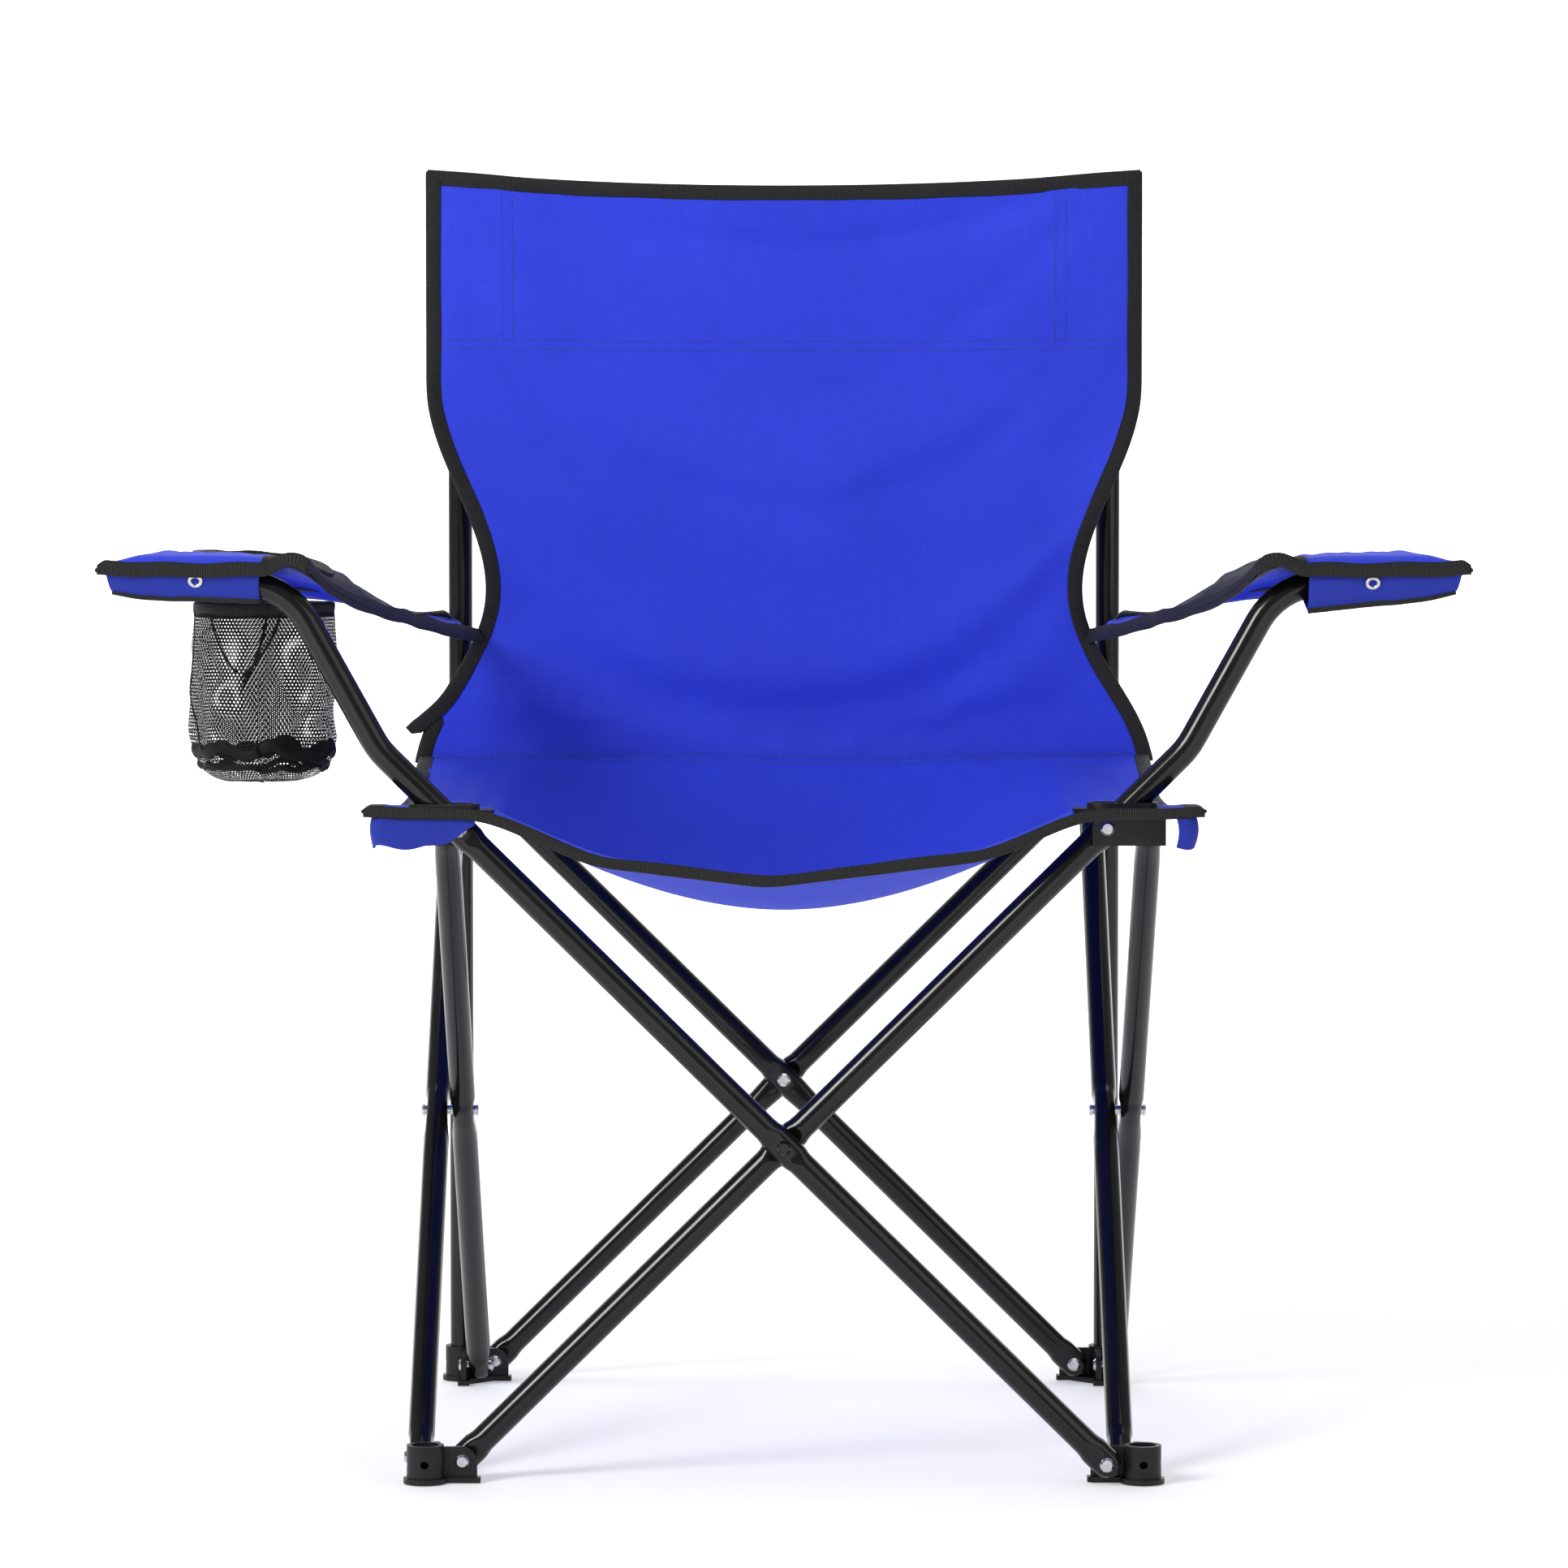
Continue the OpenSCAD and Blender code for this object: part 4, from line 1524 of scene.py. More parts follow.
@dataclass
class BackPocket:
    """A sleeve of cloth behind the back panel that slips over a post's top."""

    finishes: Finishes
    side: Side
    low: float = 0.690
    width: float = 0.038
    reach: float = 10.6 * MM
    flat_width: float = 0.075
    wall: float = 0.9 * MM

    def build(self) -> None:
        """Make the sleeve and let it ride its post."""
        post = middle(f"post_{self.side.word}")
        node = f"post_pocket_{self.side.word}"
        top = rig.box(node)[1].z - 0.001
        front_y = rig.box("back_panel")[1].y - 0.0005

        def place(u: float, v: float) -> Vector:
            """The sleeve's surface, u round the back of the post and v up it."""
            turn = math.pi * (u - 0.5) * 1.06
            x = post.x + self.side.value * self.width / 2 * math.sin(turn)
            y = mix(front_y, post.y + self.reach, max(math.cos(turn), 0.0) ** 0.45)
            ripple = 0.7 * MM * wobble(v * 0.11, 3.0 + 5 * u, 0.02)
            return Vector((x, y + ripple, mix(self.low, top, v)))

        flat = (self.flat_width, top - self.low)
        piece = Panel(f"pocket_{self.side.word}", 20, 14, flat, place).build(self.finishes.cloth)
        thicken(piece, self.wall)
        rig.sheet(piece, flat=flat, held="stretched", rests_on=[f"post_{self.side.word}"])
        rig.replaces(piece, node)
        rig.slot(piece, "cloth")
        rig.ride(piece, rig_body(node))
        log.info("%s pocket: %d faces", self.side.word, len(piece.data.polygons))


@dataclass
class Seat:
    """The sling seat: one cut of cloth, hung between its corners, that folds at its middle line."""

    finishes: Finishes
    thickness: float = 1.3 * MM
    front_half: float = 0.2505
    side_half: float = 0.2400
    edge_z: float = 0.4035
    front_sag: float = 0.041
    middle_sag: float = 0.062
    hang: float = 0.178

    def build(self) -> None:
        """Cut, hang, split, bind and stitch the seat."""
        self.front_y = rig.box("seat_front_half")[0].y + 0.001
        self.rear_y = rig.box("seat_rear_half")[1].y
        self.seam_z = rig.box("back_panel")[0].z - 0.0015
        width, length = 2 * self.front_half, 1.14 * (self.rear_y - self.front_y)
        panel = Panel("seat_cloth", 72, 64, (width, length), self.place)
        whole = panel.build(self.finishes.cloth)
        Hanging(steps=18, slack=0.003, cap=7 * MM).apply(whole, self.held)
        refine(whole)
        self.bind(whole)
        self.stitch(whole)
        rear = whole
        front = whole.copy()
        front.data = whole.data.copy()
        front.name = front.data.name = "seat_cloth_front"
        bpy.context.scene.collection.objects.link(front)
        rear.name = rear.data.name = "seat_cloth_rear"
        for piece, body in ((front, "seat_front"), (rear, "seat_rear")):
            bm = bmesh.new()
            bm.from_mesh(piece.data)
            bmesh.ops.bisect_plane(
                bm,
                geom=[*bm.verts, *bm.edges, *bm.faces],
                plane_co=(0, 0, 0),
                plane_no=(0, 1, 0),
                clear_outer=piece is front,
                clear_inner=piece is rear,
            )
            bm.to_mesh(piece.data)
            bm.free()
            thicken(piece, self.thickness)
            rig.sheet(
                piece,
                flat=(width, length / 2),
                held="hung",
                rests_on=["seat_plate_left", "seat_plate_right", "hub_rear_left", "hub_rear_right"],
            )
            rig.replaces(piece, f"{body}_half")
            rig.slot(piece, "cloth")
            self.hold(piece, body)
        log.info("seat: front and rear cloth, %d and %d faces", len(front.data.polygons), len(rear.data.polygons))

    def hold(self, piece: Piece, body: str) -> None:
        """Make a piece ride one half of the seat and gather as the frame closes."""
        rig.ride(piece, body)
        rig.squash(piece, "fold", axis=(1, 0, 0), anchor=tuple(middle("post_left")), keep=SOFT_KEEP)

    def edge_height(self, v: float) -> float:
        """Height of the seat's side edge, from the front (0) to the seam (1)."""
        sunk = 0.006 * math.sin(math.pi * v)
        raised = 0.004 * ease(v / 0.1) * ease((0.35 - v) / 0.2)
        return mix(self.edge_z, self.seam_z, ease(3 * v - 2)) - sunk + raised

    def sag(self, v: float) -> float:
        """How far the middle hangs below the edge."""
        if v < 0.5:
            return mix(self.front_sag, self.middle_sag, ease(2 * v))
        rear = 2 * v - 1
        return self.middle_sag * (1 - rear * rear) ** 1.15

    def place(self, u: float, v: float) -> Vector:
        """The seat's surface before it hangs.

        Args:
            u: Share across, from the left.
            v: Share back, from the front edge.

        Returns:
            The point.
        """
        w = 2 * u - 1
        half = mix(self.front_half, self.side_half, ease(2.5 * v))
        x = w * half
        y = mix(self.front_y, self.rear_y, v)
        across = min(abs(x) / self.hang, 1.0)
        bowl = 1 - across ** 1.9
        taut = 0.64 * ease((0.192 - abs(x)) / 0.085) + 0.36 * max(1 - abs(x + 0.01) / 0.12, 0.0)
        bowl = mix(taut, bowl, ease(v / 0.3))
        z = self.edge_height(v) - self.sag(v) * bowl
        fan = math.sin(9 * math.atan2(x + 0.21, 0.25 - y))
        crease = 0.0022 * fan * ease((v - 0.5) / 0.4) * ease((0.99 - v) / 0.08) * bump_at(x, -0.13, 0.11)
        lean = 0.0015 * bump_at(abs(w), 1.0, 0.09) * ease((0.08 - v) / 0.08)
        seam = 0.0022 * wobble(x, 31.0, 0.16) * ease((v - 0.9) / 0.1)
        pucker = 0.0012 * wobble(x + 0.3 * v, 33.0, 0.022) * ease((v - 0.86) / 0.1)
        return Vector((x, y, z + crease + lean + seam + pucker))

    def held(self, u: float, v: float) -> float:
        """How firmly a point is held: at the corners, the sides and the seam."""
        w = abs(2 * u - 1)
        corner = 1.0 if w > 0.72 and (v < 0.16 or v > 0.86) else 0.0
        side = 1.0 if w > 0.985 else 0.0
        seam = 1.0 if v > 0.985 else 0.0
        front = 1.0 if v < 0.03 else 0.0
        return max(corner, side, seam, front)

    def bind(self, piece: Piece) -> None:
        """Tape the front edge and both sides, each side in two lengths."""
        points, _ = edge_line(piece, lambda u, v: v < ON_EDGE, lambda u, v: u)
        low = [p - UP * 0.0022 - AWAY * 0.0016 for p in points]
        binding = Binding("seat_binding_front", reach=5.6 * MM, thickness=3.4 * MM, seed=2.4)
        tape = binding.build(low, UP * 0.25 - AWAY, AWAY * 0.2 + UP, self.finishes.tape)
        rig.slot(tape, "cloth")
        self.hold(tape, "seat_front")
        for side in Side:
            edge = (lambda u, v: u < ON_EDGE) if side is Side.LEFT else (lambda u, v: u > 1 - ON_EDGE)
            points, normals = edge_line(piece, edge, lambda u, v: v)
            for body, keep in (("seat_front", lambda p: p.y < 0), ("seat_rear", lambda p: p.y >= 0)):
                line = parted([(p, n) for p, n in zip(points, normals) if keep(p)])
                binding = Binding(f"{body}_binding_{side.word}", seed=3.0 + side.value)
                tape = binding.build(*line, -RIGHT * side.value, self.finishes.tape)
                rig.slot(tape, "cloth")
                self.hold(tape, body)

    def stitch(self, piece: Piece) -> None:
        """Sew the double row along the seam."""
        rows = []
        for back in (0.9885, 0.973):
            line = [self.place(k / 160, back) + UP * 0.0012 for k in range(3, 158)]
            rows.append((line, [(UP - AWAY).normalized()] * len(line)))
        sewn = StitchRow("seat_seam_stitching").build(rows, self.finishes.thread)
        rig.slot(sewn, "cloth")
        self.hold(sewn, "seat_rear")


@dataclass
class CornerFlap:
    """A pocket of cloth that hangs over a front hub from the seat's front corner."""

    finishes: Finishes
    side: Side
    drop: float = 0.021
    inner_x: float = 0.184
    # The inner end of the narrow flap on the right
    narrow_x: float = 0.2325
    outer_x: float = 0.2445
    run_side: float = 0.052
    round_r: float = 0.007
    thickness: float = 1.3 * MM

    def build(self) -> None:
        """Make the flap, which wraps round the corner."""
        front_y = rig.box("seat_front_half")[0].y + 0.0015
        run_front = self.outer_x - self.inner_x
        total = run_front + self.run_side
        round_r = self.round_r

        def place(u: float, v: float) -> Vector:
            """The flap's surface, u round the corner and v up it."""
            run = u * total
            if run < run_front - round_r:
                x, y = self.inner_x + run, front_y
            elif run < run_front + round_r:
                turn = (run - run_front + round_r) / (2 * round_r) * math.pi / 2
                x = self.outer_x - round_r + round_r * math.sin(turn)
                y = front_y + round_r - round_r * math.cos(turn)
            else:
                x, y = self.outer_x, front_y + run - run_front
            rise = 0.013 * ease((0.022 - run) / 0.022) if self.side is Side.LEFT else 0.0
            drop = (self.drop - rise) * (1 - v) + 0.0015 * math.sin(run * 190) * (1 - v)
            belly = 0.0035 * math.sin(math.pi * (1 - v)) * bump_at(run, run_front, 0.05)
            fold = 0.0016 * wobble(run, 4.0 + self.side.value, 0.014) * (1 - v)
            return Vector((self.side.value * (x + belly * 0.6 + fold), y - belly, 0.4045 - drop))

        panel = Panel(f"seat_flap_{self.side.word}", 44, 14, (total, self.drop), place)
        # The flap takes the darker cloth, as painted shade
        flap = panel.build(self.finishes.lining)
        refine(flap)
        thicken(flap, self.thickness)
        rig.sheet(flap, flat=(total, self.drop), held="hung", rests_on=[f"hub_front_{self.side.word}"])
        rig.slot(flap, "cloth")
        self.hold(flap)
        log.info("%s corner flap: %d faces", self.side.word, len(flap.data.polygons))

    def hold(self, piece: Piece) -> None:
        """Make a piece ride the seat's front half and gather with it."""
        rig.ride(piece, "seat_front")
        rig.squash(piece, "fold", axis=(1, 0, 0), anchor=tuple(middle("post_left")), keep=SOFT_KEEP)


@dataclass
class Arm:
    """An arm rest: a top cloth and an under cloth sewn round the tube's end, strapped to the post."""

    finishes: Finishes
    side: Side
    thickness: float = 1.2 * MM
    inner_front: float = 0.284
    inner_rear: float = 0.199
    width_front: float = 0.122
    width_rear: float = 0.028
    lip_low: float = 0.5468
    crown: float = 0.5585
    cup_radius: float = 0.0375
    rear_z: float = 0.511
    under_width: float = 0.085
    # The under cloth's rough area in square metres, and the top cloth's share of its flat size as it tapers
    under_area: float = 0.0135
    top_share: float = 0.72

    def build(self) -> None:
        """Make both cloths, their bindings, the webbing that is partly painted shade, the backing and the eyelet."""
        word = self.side.word
        low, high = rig.box(f"arm_top_{word}")
        self.front_y, self.rear_y = low.y, high.y
        length = self.rear_y - self.front_y
        panel = Panel(f"arm_cloth_top_{word}", 40, 96, (self.width_front, length), self.top)
        top = panel.build(self.finishes.cloth)
        Hanging(steps=12, slack=0.002, cap=3 * MM, mass=0.03).apply(top, self.held)
        refine(top)
        self.bind(top)
        thicken(top, self.thickness)
        if self.side is Side.LEFT:
            cut_round(top, self.cup_centre(), self.cup_radius)
            self.bind_cup_hole()
        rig.sheet(
            top,
            flat=(self.width_front, length),
            area=self.top_share * self.width_front * length,
            held="hung",
            rests_on=[f"tube_front_to_{word}_arm", f"post_{word}"],
        )
        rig.replaces(top, f"arm_top_{word}")
        flat = (self.under_width, 0.5 * length)
        # The under cloth takes the darker cloth, as painted shade
        under = Panel(f"arm_cloth_under_{word}", 24, 44, flat, self.under).build(self.finishes.lining)
        refine(under)
        thicken(under, self.thickness)
        if self.side is Side.LEFT:
            cut_round(under, self.cup_centre(), self.cup_radius)
        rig.sheet(
            under,
            flat=flat,
            area=self.under_area,
            held="stretched",
            rests_on=[f"tube_front_to_{word}_arm"],
        )
        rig.replaces(under, f"arm_under_{word}")
        for piece in (top, under):
            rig.slot(piece, "cloth")
            self.hold(piece)
        self.eyelet()
        self.patch()
        self.backing()
        self.lower_tape()
        log.info("%s arm: %d and %d faces", word, len(top.data.polygons), len(under.data.polygons))

    def hold(self, piece: Piece) -> None:
        """Make a piece ride the arm tube and gather towards it as the frame closes."""
        node = f"tube_front_to_{self.side.word}_arm"
        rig.ride(piece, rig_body(node))
        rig.squash(piece, "fold", axis=(0, 1, 0), anchor=tuple(middle(node)), keep=SOFT_KEEP)

    def inner_x(self, v: float) -> float:
        """The inner edge's distance from the chair's middle."""
        return mix(self.inner_front, self.inner_rear, v ** 0.85)

    def width(self, v: float) -> float:
        """The arm's width."""
        return mix(self.width_front, self.width_rear, ease((v - 0.3) / 0.65))

    def inner_z(self, v: float) -> float:
        """Height of the inner edge, which falls away behind the tube."""
        return 0.497 + 0.038 * (1 - v) ** 1.15 + 0.021 * math.exp(-v / 0.07)

    def middle_z(self, v: float) -> float:
        """Height of the arm's crown."""
        crown = mix(0.5565, self.crown, ease(v / 0.12))
        return mix(crown, self.rear_z, ease((v - 0.28) / 0.72))

    def outer_droop(self, v: float) -> float:
        """How far the outer edge hangs below the crown."""
        return mix(0.004, 0.014, ease(v / 0.22)) * (1 - ease((v - 0.45) / 0.45))

    def top(self, u: float, v: float) -> Vector:
        """The top cloth, u from the inner to the outer edge and v from the front to the rear.

        Args:
            u: Share across.
            v: Share back.

        Returns:
            The point.
        """
        x = self.inner_x(v) + u * self.width(v)
        z = self.middle_z(v)
        z += (self.inner_z(v) - z) * (1 - u) ** mix(7.0, 1.3, ease(v / 0.8))
        z -= self.outer_droop(v) * ease((u - 0.84) / 0.16)
        z += 0.0016 * wobble(v * 0.43, 2.0 + 3 * u, 0.045) * ease(v / 0.1)
        lip = ease(1 - v / 0.024)
        hump = 0.0065 * bump_at(u, 0.07, 0.13)
        z = mix(z, self.lip_low + hump + 0.0012 * wobble(u * 0.125, 9.0, 0.03), lip)
        y = mix(self.front_y, self.rear_y, v) + 0.0015 * wobble(u * 0.125, 11.0, 0.04) * ease(1 - v / 0.1)
        tip = 0.010 * bump_at(u, 1.0, 0.12) * ease(1 - v / 0.06)
        return Vector((self.side.value * (x + tip * 0.2), y, z + 0.1 * tip))

    def under(self, u: float, v: float) -> Vector:
        """The under cloth, sewn to the front lip and drawn back below the tube's end.

        Args:
            u: Share across.
            v: Share back.

        Returns:
            The point.
        """
        share = 0.5 * v
        x = mix(0.312, self.inner_x(share) + self.width(share) - 0.003, u)
        fall = ease(v / 0.032) ** 0.8
        slant = 0.003 if self.side is Side.LEFT else 0.009
        low = 0.5325 - slant * (1 - u) ** 1.1 * (1 - ease(v / 0.3))
        z = mix(self.lip_low + 0.001, low, fall) + 0.003 * ease((u - 0.8) / 0.2) * fall
        y = self.front_y + 0.0012 + 0.5 * v * (self.rear_y - self.front_y)
        return Vector((self.side.value * x, y, z + 0.0008 * wobble(v * 0.2, 6 + 4 * u, 0.03)))

    def cup_centre(self) -> Vector:
        """Where the cup holder's hole is."""
        return middle("cup_holder_rim")

    def bind_cup_hole(self) -> None:
        """Tape the round hole that the cup goes through."""
        centre = self.cup_centre()
        points = []
        for at in ring(centre, self.cup_radius, centre.z):
            v = (at.y - self.front_y) / (self.rear_y - self.front_y)
            u = (abs(at.x) - self.inner_x(v)) / self.width(v)
            points.append(self.top(u, v))
        away = outward(points, centre)
        points = [p - UP * 0.0006 for p in points]
        binding = Binding("arm_cup_hole_tape", reach=5.5 * MM, thickness=2.4 * MM, wave=0.2 * MM, seed=15.0)
        tape = binding.build(points, UP, away, self.finishes.tape)
        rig.slot(tape, "cloth")
        self.hold(tape)

    def patch(self) -> None:
        """Sew a wide strip of webbing along the front part of the inner edge: partly the wide binding there, partly
        painted shade behind the tube.
        """
        reach, start, end = 0.24, 0.01, 0.30

        def place(u: float, v: float) -> Vector:
            """The webbing's middle, on the top cloth."""
            wide = reach * (1 - 0.35 * ease((v - 0.5) / 0.5))
            return self.top(wide * u, mix(start, end, v))

        panel = Panel(f"arm_webbing_{self.side.word}", 10, 40, (0.03, 0.126), place)
        # The black strip is partly the wide binding and partly painted shade
        webbing = panel.build(self.finishes.tape)
        refine(webbing)
        thicken(webbing, 3.4 * MM)
        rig.slot(webbing, "cloth")
        self.hold(webbing)

    def backing(self) -> None:
        """Line the front of the arm with dark cloth from below."""
        def place(u: float, v: float) -> Vector:
            """The dark sheet that lines the arm, just below the top cloth."""
            return self.top(mix(0.02, 0.93, u), mix(0.02, 0.62, v)) - UP * 0.0028

        size = (0.91 * self.width_front, 0.6 * (self.rear_y - self.front_y))
        lining = Panel(f"arm_backing_{self.side.word}", 24, 30, size, place).build(self.finishes.tape)
        refine(lining)
        thicken(lining, 1.0 * MM)
        if self.side is Side.LEFT:
            cut_round(lining, self.cup_centre(), self.cup_radius)
        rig.slot(lining, "cloth")
        self.hold(lining)

    def lower_tape(self) -> None:
        """Tape the under cloth's lower front edge."""
        points = [self.under(k / 40, 0.036) for k in range(41)]
        points = [p + Vector((0.0, 0.0006, -0.0004)) for p in points]
        name = f"arm_binding_under_{self.side.word}"
        binding = Binding(name, reach=3.2 * MM, thickness=2.4 * MM, wave=0.4 * MM, seed=19.0)
        tape = binding.build(points, -AWAY, UP + AWAY * 0.3, self.finishes.tape)
        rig.slot(tape, "cloth")
        self.hold(tape)

    def eyelet(self) -> None:
        """Press a bright eyelet through the under cloth's front."""
        bm = bmesh.new()
        # The lip's section, from its bore over the top to its rim and back below, as radius and height
        lip = [
            (2.2 * MM, 0.0),
            (2.4 * MM, 0.6 * MM),
            (3.4 * MM, 1.1 * MM),
            (4.4 * MM, 0.7 * MM),
            (4.7 * MM, 0.0),
            (3.4 * MM, -0.6 * MM),
        ]
        verts = [bm.verts.new((r, 0, h)) for r, h in lip]
        edges = [bm.edges.new((a, b)) for a, b in zip(verts, verts[1:] + verts[:1])]
        bmesh.ops.spin(
            bm,
            geom=verts + edges,
            cent=(0, 0, 0),
            axis=(0, 0, 1),
            angle=2 * math.pi,
            steps=32,
            use_merge=True,
        )
        bmesh.ops.recalc_face_normals(bm, faces=bm.faces)
        at = self.under(0.42, 0.011)
        bmesh.ops.rotate(bm, verts=bm.verts, matrix=Matrix.Rotation(math.radians(122), 3, "X"))
        bmesh.ops.translate(bm, verts=bm.verts, vec=(at.x, at.y - 0.0012, at.z))
        ring_piece = make_piece(f"arm_eyelet_{self.side.word}", bm, self.finishes.rivet)
        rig.replaces(ring_piece, f"arm_rivet_{self.side.word}")
        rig.slot(ring_piece, "rivet")
        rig.ride(ring_piece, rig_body(f"arm_rivet_{self.side.word}"))

    def held(self, u: float, v: float) -> float:
        """How firmly a point is held: by its bindings, the tube's end and the strap."""
        edge = 1.0 if u < 0.03 or u > 0.97 else 0.0
        front = 1.0 if v < 0.11 else 0.0
        rear = 1.0 if v > 0.86 else 0.0
        return max(edge, front, rear)

    def bind(self, piece: Piece) -> None:
        """Tape the front, inner and outer edges."""
        word = self.side.word
        front, _ = edge_line(piece, lambda u, v: v < ON_EDGE, lambda u, v: u)
        low = [p - UP * 0.0012 - AWAY * 0.0006 for p in front]
        name = f"arm_binding_front_{word}"
        binding = Binding(name, reach=7.4 * MM, thickness=2.8 * MM, wave=0.8 * MM, seed=7.0)
        tapes = [binding.build(low, -AWAY + UP * 0.2, UP + AWAY * 0.2, self.finishes.tape)]
        for name, edge, inward in (
            ("inner", lambda u, v: u < ON_EDGE, RIGHT * self.side.value),
            ("outer", lambda u, v: u > 1 - ON_EDGE, -RIGHT * self.side.value),
        ):
            points, normals = edge_line(piece, edge, lambda u, v: v)
            normals = [n if n.z > 0 else -n for n in normals]
            if name == "inner":
                normals = [n * 0.35 - RIGHT * self.side.value for n in normals]
                points = [p - UP * 0.002 for p in points]
                inward = inward * 0.4 + UP
            full_name = f"arm_binding_{name}_{word}"
            binding = Binding(full_name, reach=8.0 * MM, wave=0.8 * MM, seed=5.0 + len(name))
            tapes.append(binding.build(points, normals, inward, self.finishes.tape))
        for tape in tapes:
            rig.slot(tape, "cloth")
            self.hold(tape)


@dataclass
class CupHolder:
    """The net bag under the left arm, with its bound rim and the gathered seam round its foot."""

    finishes: Finishes
    pitch: float = 2.4 * MM
    strand: float = 0.5
    foot_r: float = 0.022
    rim_r: float = 0.0415
    # How much of the net's flat size is yarn rather than holes
    yarn_share: float = 0.42

    def build(self) -> None:
        """Make the net, rim and gathers."""
        low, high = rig.box("cup_holder_net")
        _, rim_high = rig.box("cup_holder_rim")
        self.centre = (low + high) / 2
        self.radius = (high.x - low.x) / 2 - 0.0005
        self.top_z, self.low_z = rim_high.z - 0.002, low.z + 0.0008
        self.net()
        self.rim(rim_high.z)
        self.gathers()

    def hold(self, piece: Piece, node: str) -> None:
        """Finish a piece: it stands for its node and gathers with the arm."""
        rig.replaces(piece, node)
        self.follow(piece)

    def follow(self, piece: Piece) -> None:
        """Make a piece ride the left arm tube and gather with the arm."""
        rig.slot(piece, "net")
        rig.ride(piece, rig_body("cup_holder_net"))
        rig.squash(piece, "fold", axis=(0, 1, 0), anchor=tuple(middle("tube_front_to_left_arm")), keep=SOFT_KEEP)

    def surface(self, turn: float, down: float) -> Vector:
        """A place on the bag.

        Args:
            turn: Angle round it, in radians; the front is at -90 degrees.
            down: Distance down the net from the rim, in metres, and on across the floor of the bag.

        Returns:
            The point.
        """
        depth = self.top_z - self.low_z
        wall = depth - self.foot_r
        curve = self.foot_r * math.pi / 2
        if down < wall:
            r, z = self.radius, self.top_z - down
        elif down < wall + curve:
            a = (down - wall) / self.foot_r
            r = self.radius - self.foot_r * (1 - math.cos(a))
            z = self.low_z + self.foot_r * (1 - math.sin(a))
        else:
            r, z = max(self.radius - self.foot_r - (down - wall - curve), 0.0005), self.low_z
        share = min(down / depth, 1.0)
        loose = math.sin(math.pi * min(share * 0.9, 1.0))
        folds = 0.05 * wobble(turn * 0.08 + 0.4 * share, 5.0, 0.07)
        folds += 0.03 * math.sin(7 * turn + 6 * share) * (0.3 + 0.7 * share)
        belly = 1.0 + 0.035 * math.sin(math.pi * share) - 0.03 * (1 - share)
        squeeze = 1.0 - 0.05 * math.exp(-(((share - 0.84) / 0.05) ** 2))
        r *= (1 + folds * (0.25 + loose)) * belly * squeeze
        lift = 0.003 * wobble(turn * 0.1, 8.0, 0.06) * share
        return Vector((self.centre.x + r * math.cos(turn), self.centre.y + r * math.sin(turn), z + lift))

    def net(self) -> None:
        """Knit the net flat from one cell, then wrap it into the bag."""
        around = round(2 * math.pi * self.radius / self.pitch)
        pitch = 2 * math.pi * self.radius / around
        row = pitch * math.sqrt(3) / 2
        depth = self.top_z - self.low_z + self.foot_r * 0.57 + self.radius - self.foot_r
        rows = math.ceil(depth / (2 * row))
        bm = bmesh.new()
        for shift in ((0.0, 0.0), (pitch / 2, row)):
            made = bmesh.ops.create_circle(bm, cap_ends=True, segments=6, radius=pitch / math.sqrt(3) * 1.02)
            bmesh.ops.rotate(bm, verts=made["verts"], matrix=Matrix.Rotation(math.pi / 6, 3, "Z"))
            bmesh.ops.translate(bm, verts=made["verts"], vec=(*shift, 0))
        cells = list(bm.faces)
        bmesh.ops.inset_individual(bm, faces=cells, thickness=self.strand * pitch / 2, use_even_offset=True)
        bmesh.ops.delete(bm, geom=cells, context="FACES")
        net = make_piece("cup_net", bm, self.finishes.net)
        for count, step in ((around, (pitch, 0, 0)), (rows, (0, 2 * row, 0))):
            array = net.modifiers.new("knit", "ARRAY")
            array.use_relative_offset = False
            array.use_constant_offset = True
            array.constant_offset_displace = step
            array.count = count
        bake_modifiers(net)
        for vert in net.data.vertices:
            vert.co = self.surface(vert.co.x / self.radius - math.pi / 2, max(vert.co.y, 0.0))
        girth = 2 * math.pi * self.radius
        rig.sheet(
            net,
            flat=(girth, depth),
            area=self.yarn_share * girth * depth,
            held="hung",
            rests_on=["arm_under_left"],
        )
        self.hold(net, "cup_holder_net")
        log.info("cup holder net: %d faces", len(net.data.polygons))

    def rim(self, top: float) -> None:
        """Sew the rim's tape."""
        points = ring(self.centre, self.rim_r, top - 0.0005)
        binding = Binding(
            "cup_rim_tape", reach=8.5 * MM, thickness=3.2 * MM, over=0.0, wave=0.5 * MM, seed=12.0
        )
        tape = binding.build(points, outward(points, self.centre), -UP, self.finishes.tape)
        self.hold(tape, "cup_holder_rim")

    def gathers(self) -> None:
        """Bunch the net where its floor is sewn in, and crease its wall."""
        depth = self.top_z - self.low_z
        bm = bmesh.new()
        # Each line is a list of turns and distances down the net: two round the bag, then the creases
        lines = []
        for share, sway, seed in ((0.83, 0.009, 13.0), (0.93, 0.007, 17.0)):
            lines.append([])
            for k in range(121):
                down = share * depth + sway * wobble(k * 0.004, seed, 0.03)
                lines[-1].append((-math.pi / 2 + 2 * math.pi * k / 120, down))
        for start, lean, run in (
            (-2.35, 0.5, 0.36),
            (-1.25, -0.55, 0.4),
            (-2.85, 0.25, 0.8),
            (1.6, 0.4, 0.5),
        ):
            lines.append([])
            for k in range(31):
                lines[-1].append((start + lean * (k / 30) ** 1.6, 0.02 * depth + run * depth * k / 30))
        for number, line in enumerate(lines):
            points = [self.surface(turn, down) for turn, down in line]
            out = outward(points, self.centre)
            thick = (0.0036, 0.0016)[number] if number < 2 else 0.0008

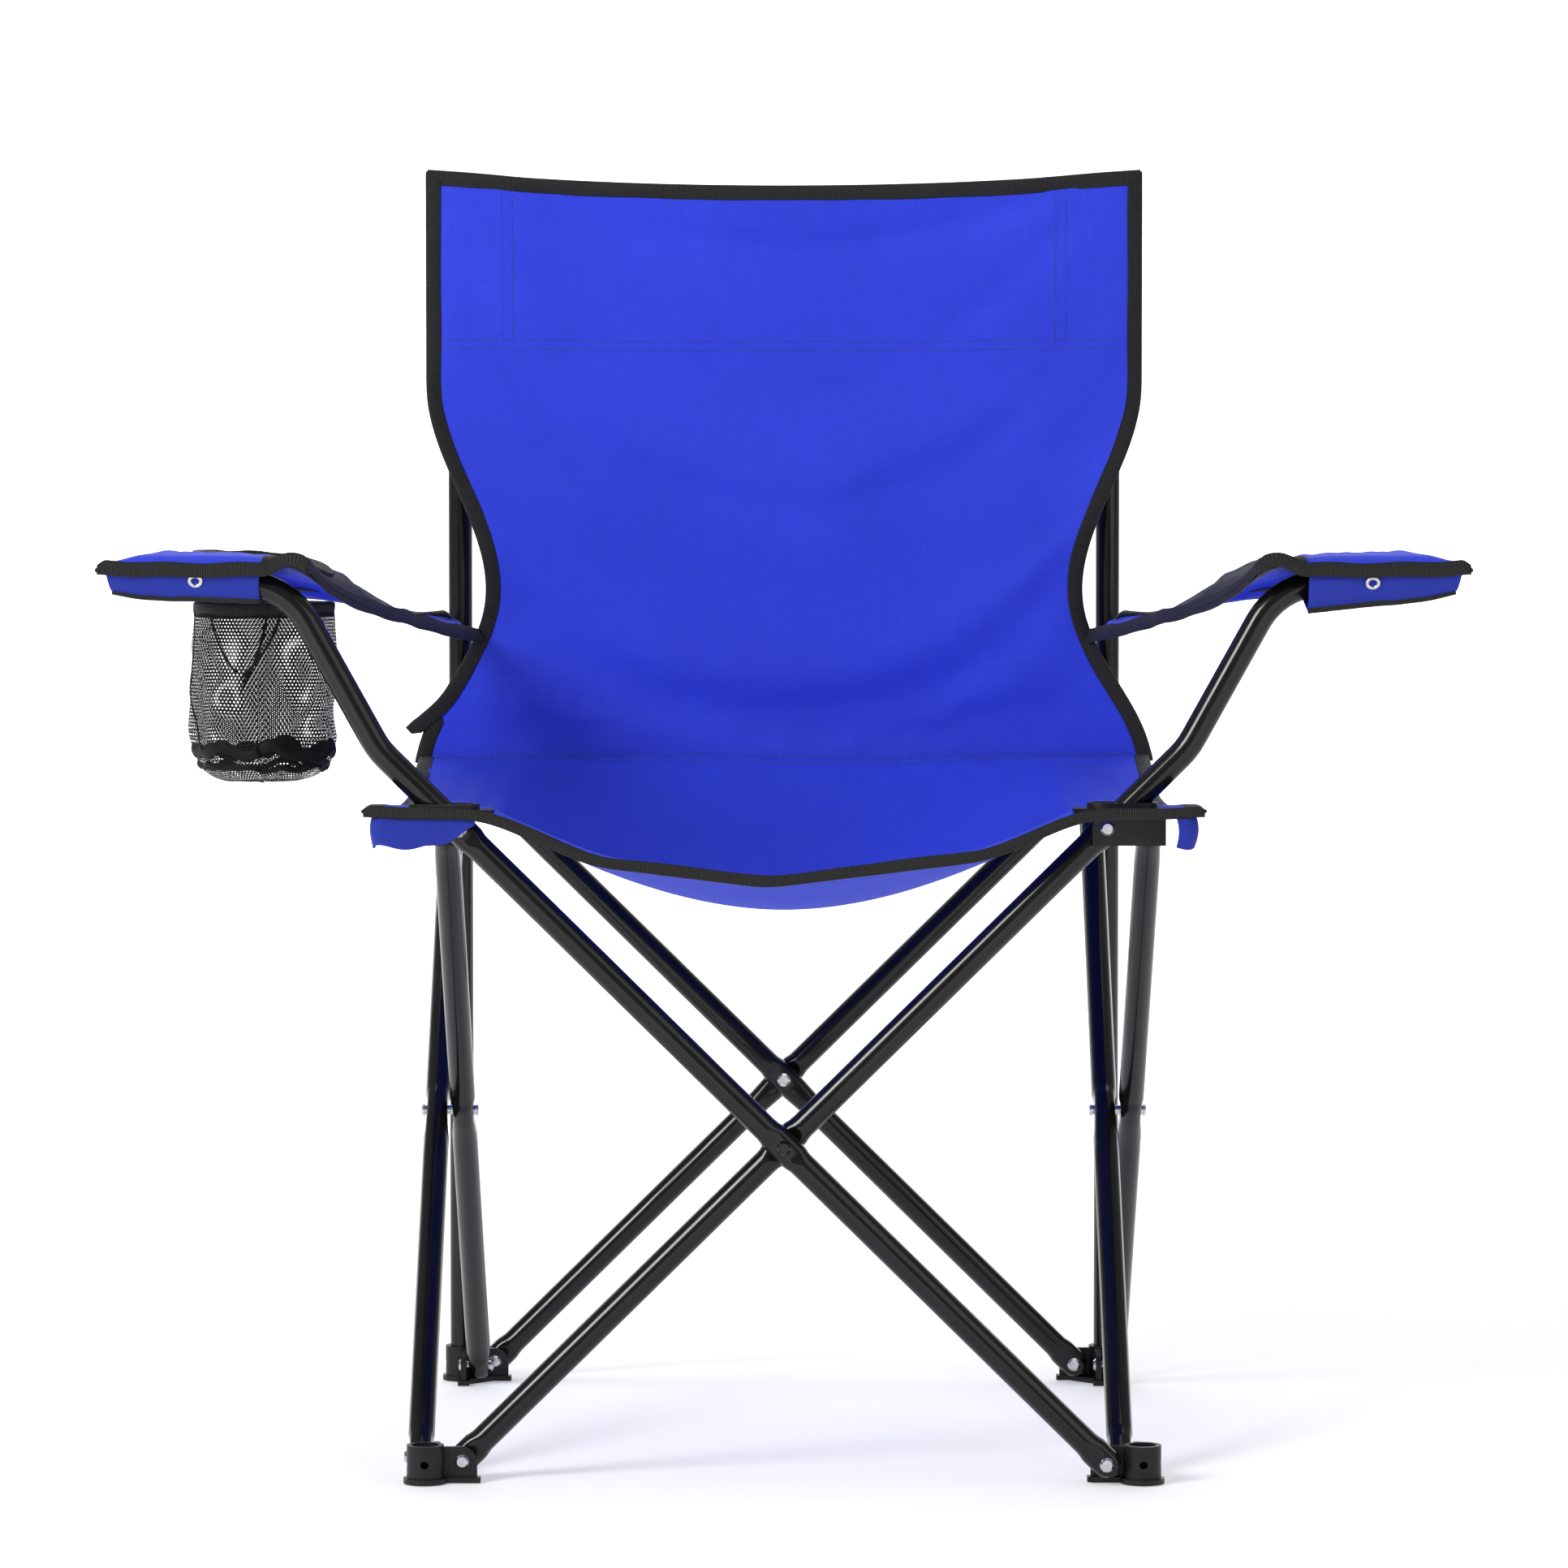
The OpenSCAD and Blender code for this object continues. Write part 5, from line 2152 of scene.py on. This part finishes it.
            def outline(_: int, at: Station, thick: float = thick, seed: float = 20.0 + number) -> Outline:
                """The gather's section, an eight-sided oval of uneven size."""
                size = thick * (0.75 + 0.5 * abs(wobble(at.along, seed, 0.009)))
                turns = [2 * math.pi * k / 8 for k in range(8)]
                return [(size * math.cos(a) * 1.3, size * 0.55 * math.sin(a)) for a in turns]

            part = sweep(stations_on(points, out), outline)
            mesh = bpy.data.meshes.new("gather")
            part.to_mesh(mesh)
            part.free()
            bm.from_mesh(mesh)
            bpy.data.meshes.remove(mesh)
        piece = make_piece("cup_net_gathers", bm, self.finishes.net)
        self.hold(piece, "cup_holder_base")


@dataclass
class Studio:
    """Floor, lights and camera."""

    distance: float = 3.905
    height: float = 0.601
    lens: float = 142.0
    pitch: float = math.radians(2.8)

    def build(self) -> None:
        """Set up the studio."""
        self.floor()
        self.lights()
        self.camera()
        scene = bpy.context.scene
        scene.view_settings.view_transform = "Standard"
        world = scene.world or bpy.data.worlds.new("studio")
        scene.world = world
        world.use_nodes = True
        back = world.node_tree.nodes["Background"]
        back.inputs[0].default_value = (1.0, 1.0, 1.0, 1.0)
        back.inputs[1].default_value = 0.3

    def floor(self) -> None:
        """A wide plain floor that meets the white surround far off."""
        bm = bmesh.new()
        bmesh.ops.create_grid(bm, x_segments=2, y_segments=2, size=12.0)
        bmesh.ops.translate(bm, verts=bm.verts, vec=(0, 0, -0.0005))
        floor = make_piece("studio_floor", bm, StudioPaper().make())
        bm = bmesh.new()
        bmesh.ops.create_grid(bm, x_segments=2, y_segments=2, size=9.0)
        bmesh.ops.rotate(bm, verts=bm.verts, matrix=Matrix.Rotation(math.pi / 2, 3, "X"))
        bmesh.ops.translate(bm, verts=bm.verts, vec=(0, 9.0, 2.0))
        backdrop = make_piece("studio_backdrop", bm, LitBackdrop().make())
        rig.stage(floor, backdrop)

    def lights(self) -> None:
        """A large key from the front left, a fill from the right and a top light."""
        for name, at, power, size in (
            ("key", (-2.5, -2.4, 2.2), 105, 1.3),
            ("fill", (2.6, -2.4, 1.6), 22, 2.4),
            ("top", (0.2, 0.6, 3.2), 32, 2.6),
        ):
            data = bpy.data.lights.new(name, "AREA")
            data.energy = power
            data.shape = "SQUARE"
            data.size = size
            light = bpy.data.objects.new(name, data)
            bpy.context.scene.collection.objects.link(light)
            light.location = at
            light.rotation_euler = (Vector((0, 0, 0.4)) - Vector(at)).to_track_quat("-Z", "Y").to_euler()

    def camera(self) -> None:
        """A long lens at sitting eye height."""
        data = bpy.data.cameras.new("camera")
        data.lens = self.lens
        data.sensor_width = 36.0
        data.clip_end = 60.0
        camera = bpy.data.objects.new("camera", data)
        bpy.context.scene.collection.objects.link(camera)
        camera.location = (0, -self.distance, self.height)
        camera.rotation_euler = (math.pi / 2 - self.pitch, 0, 0)
        bpy.context.scene.camera = camera


def main() -> None:
    """Build the chair's looks in order."""
    logging.basicConfig(level=logging.INFO, format="%(name)s: %(message)s")
    finishes = Finishes()
    Studio().build()
    TubeFrame(finishes).build()
    Hardware(finishes).build()
    BackPanel(finishes).build()
    Seat(finishes).build()
    for side in Side:
        BackPocket(finishes, side).build()
        flap = CornerFlap(finishes, side)
        if side is Side.RIGHT:
            flap.inner_x = flap.narrow_x
        flap.build()
        Arm(finishes, side).build()
    CupHolder(finishes).build()
    log.info("done")


if __name__ == "__main__":
    main()
    with open("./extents.json", "w") as out:
        json.dump({"cad": [list(c) for c in CAD_BOX], "visual": [list(c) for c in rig.bounds()]}, out)
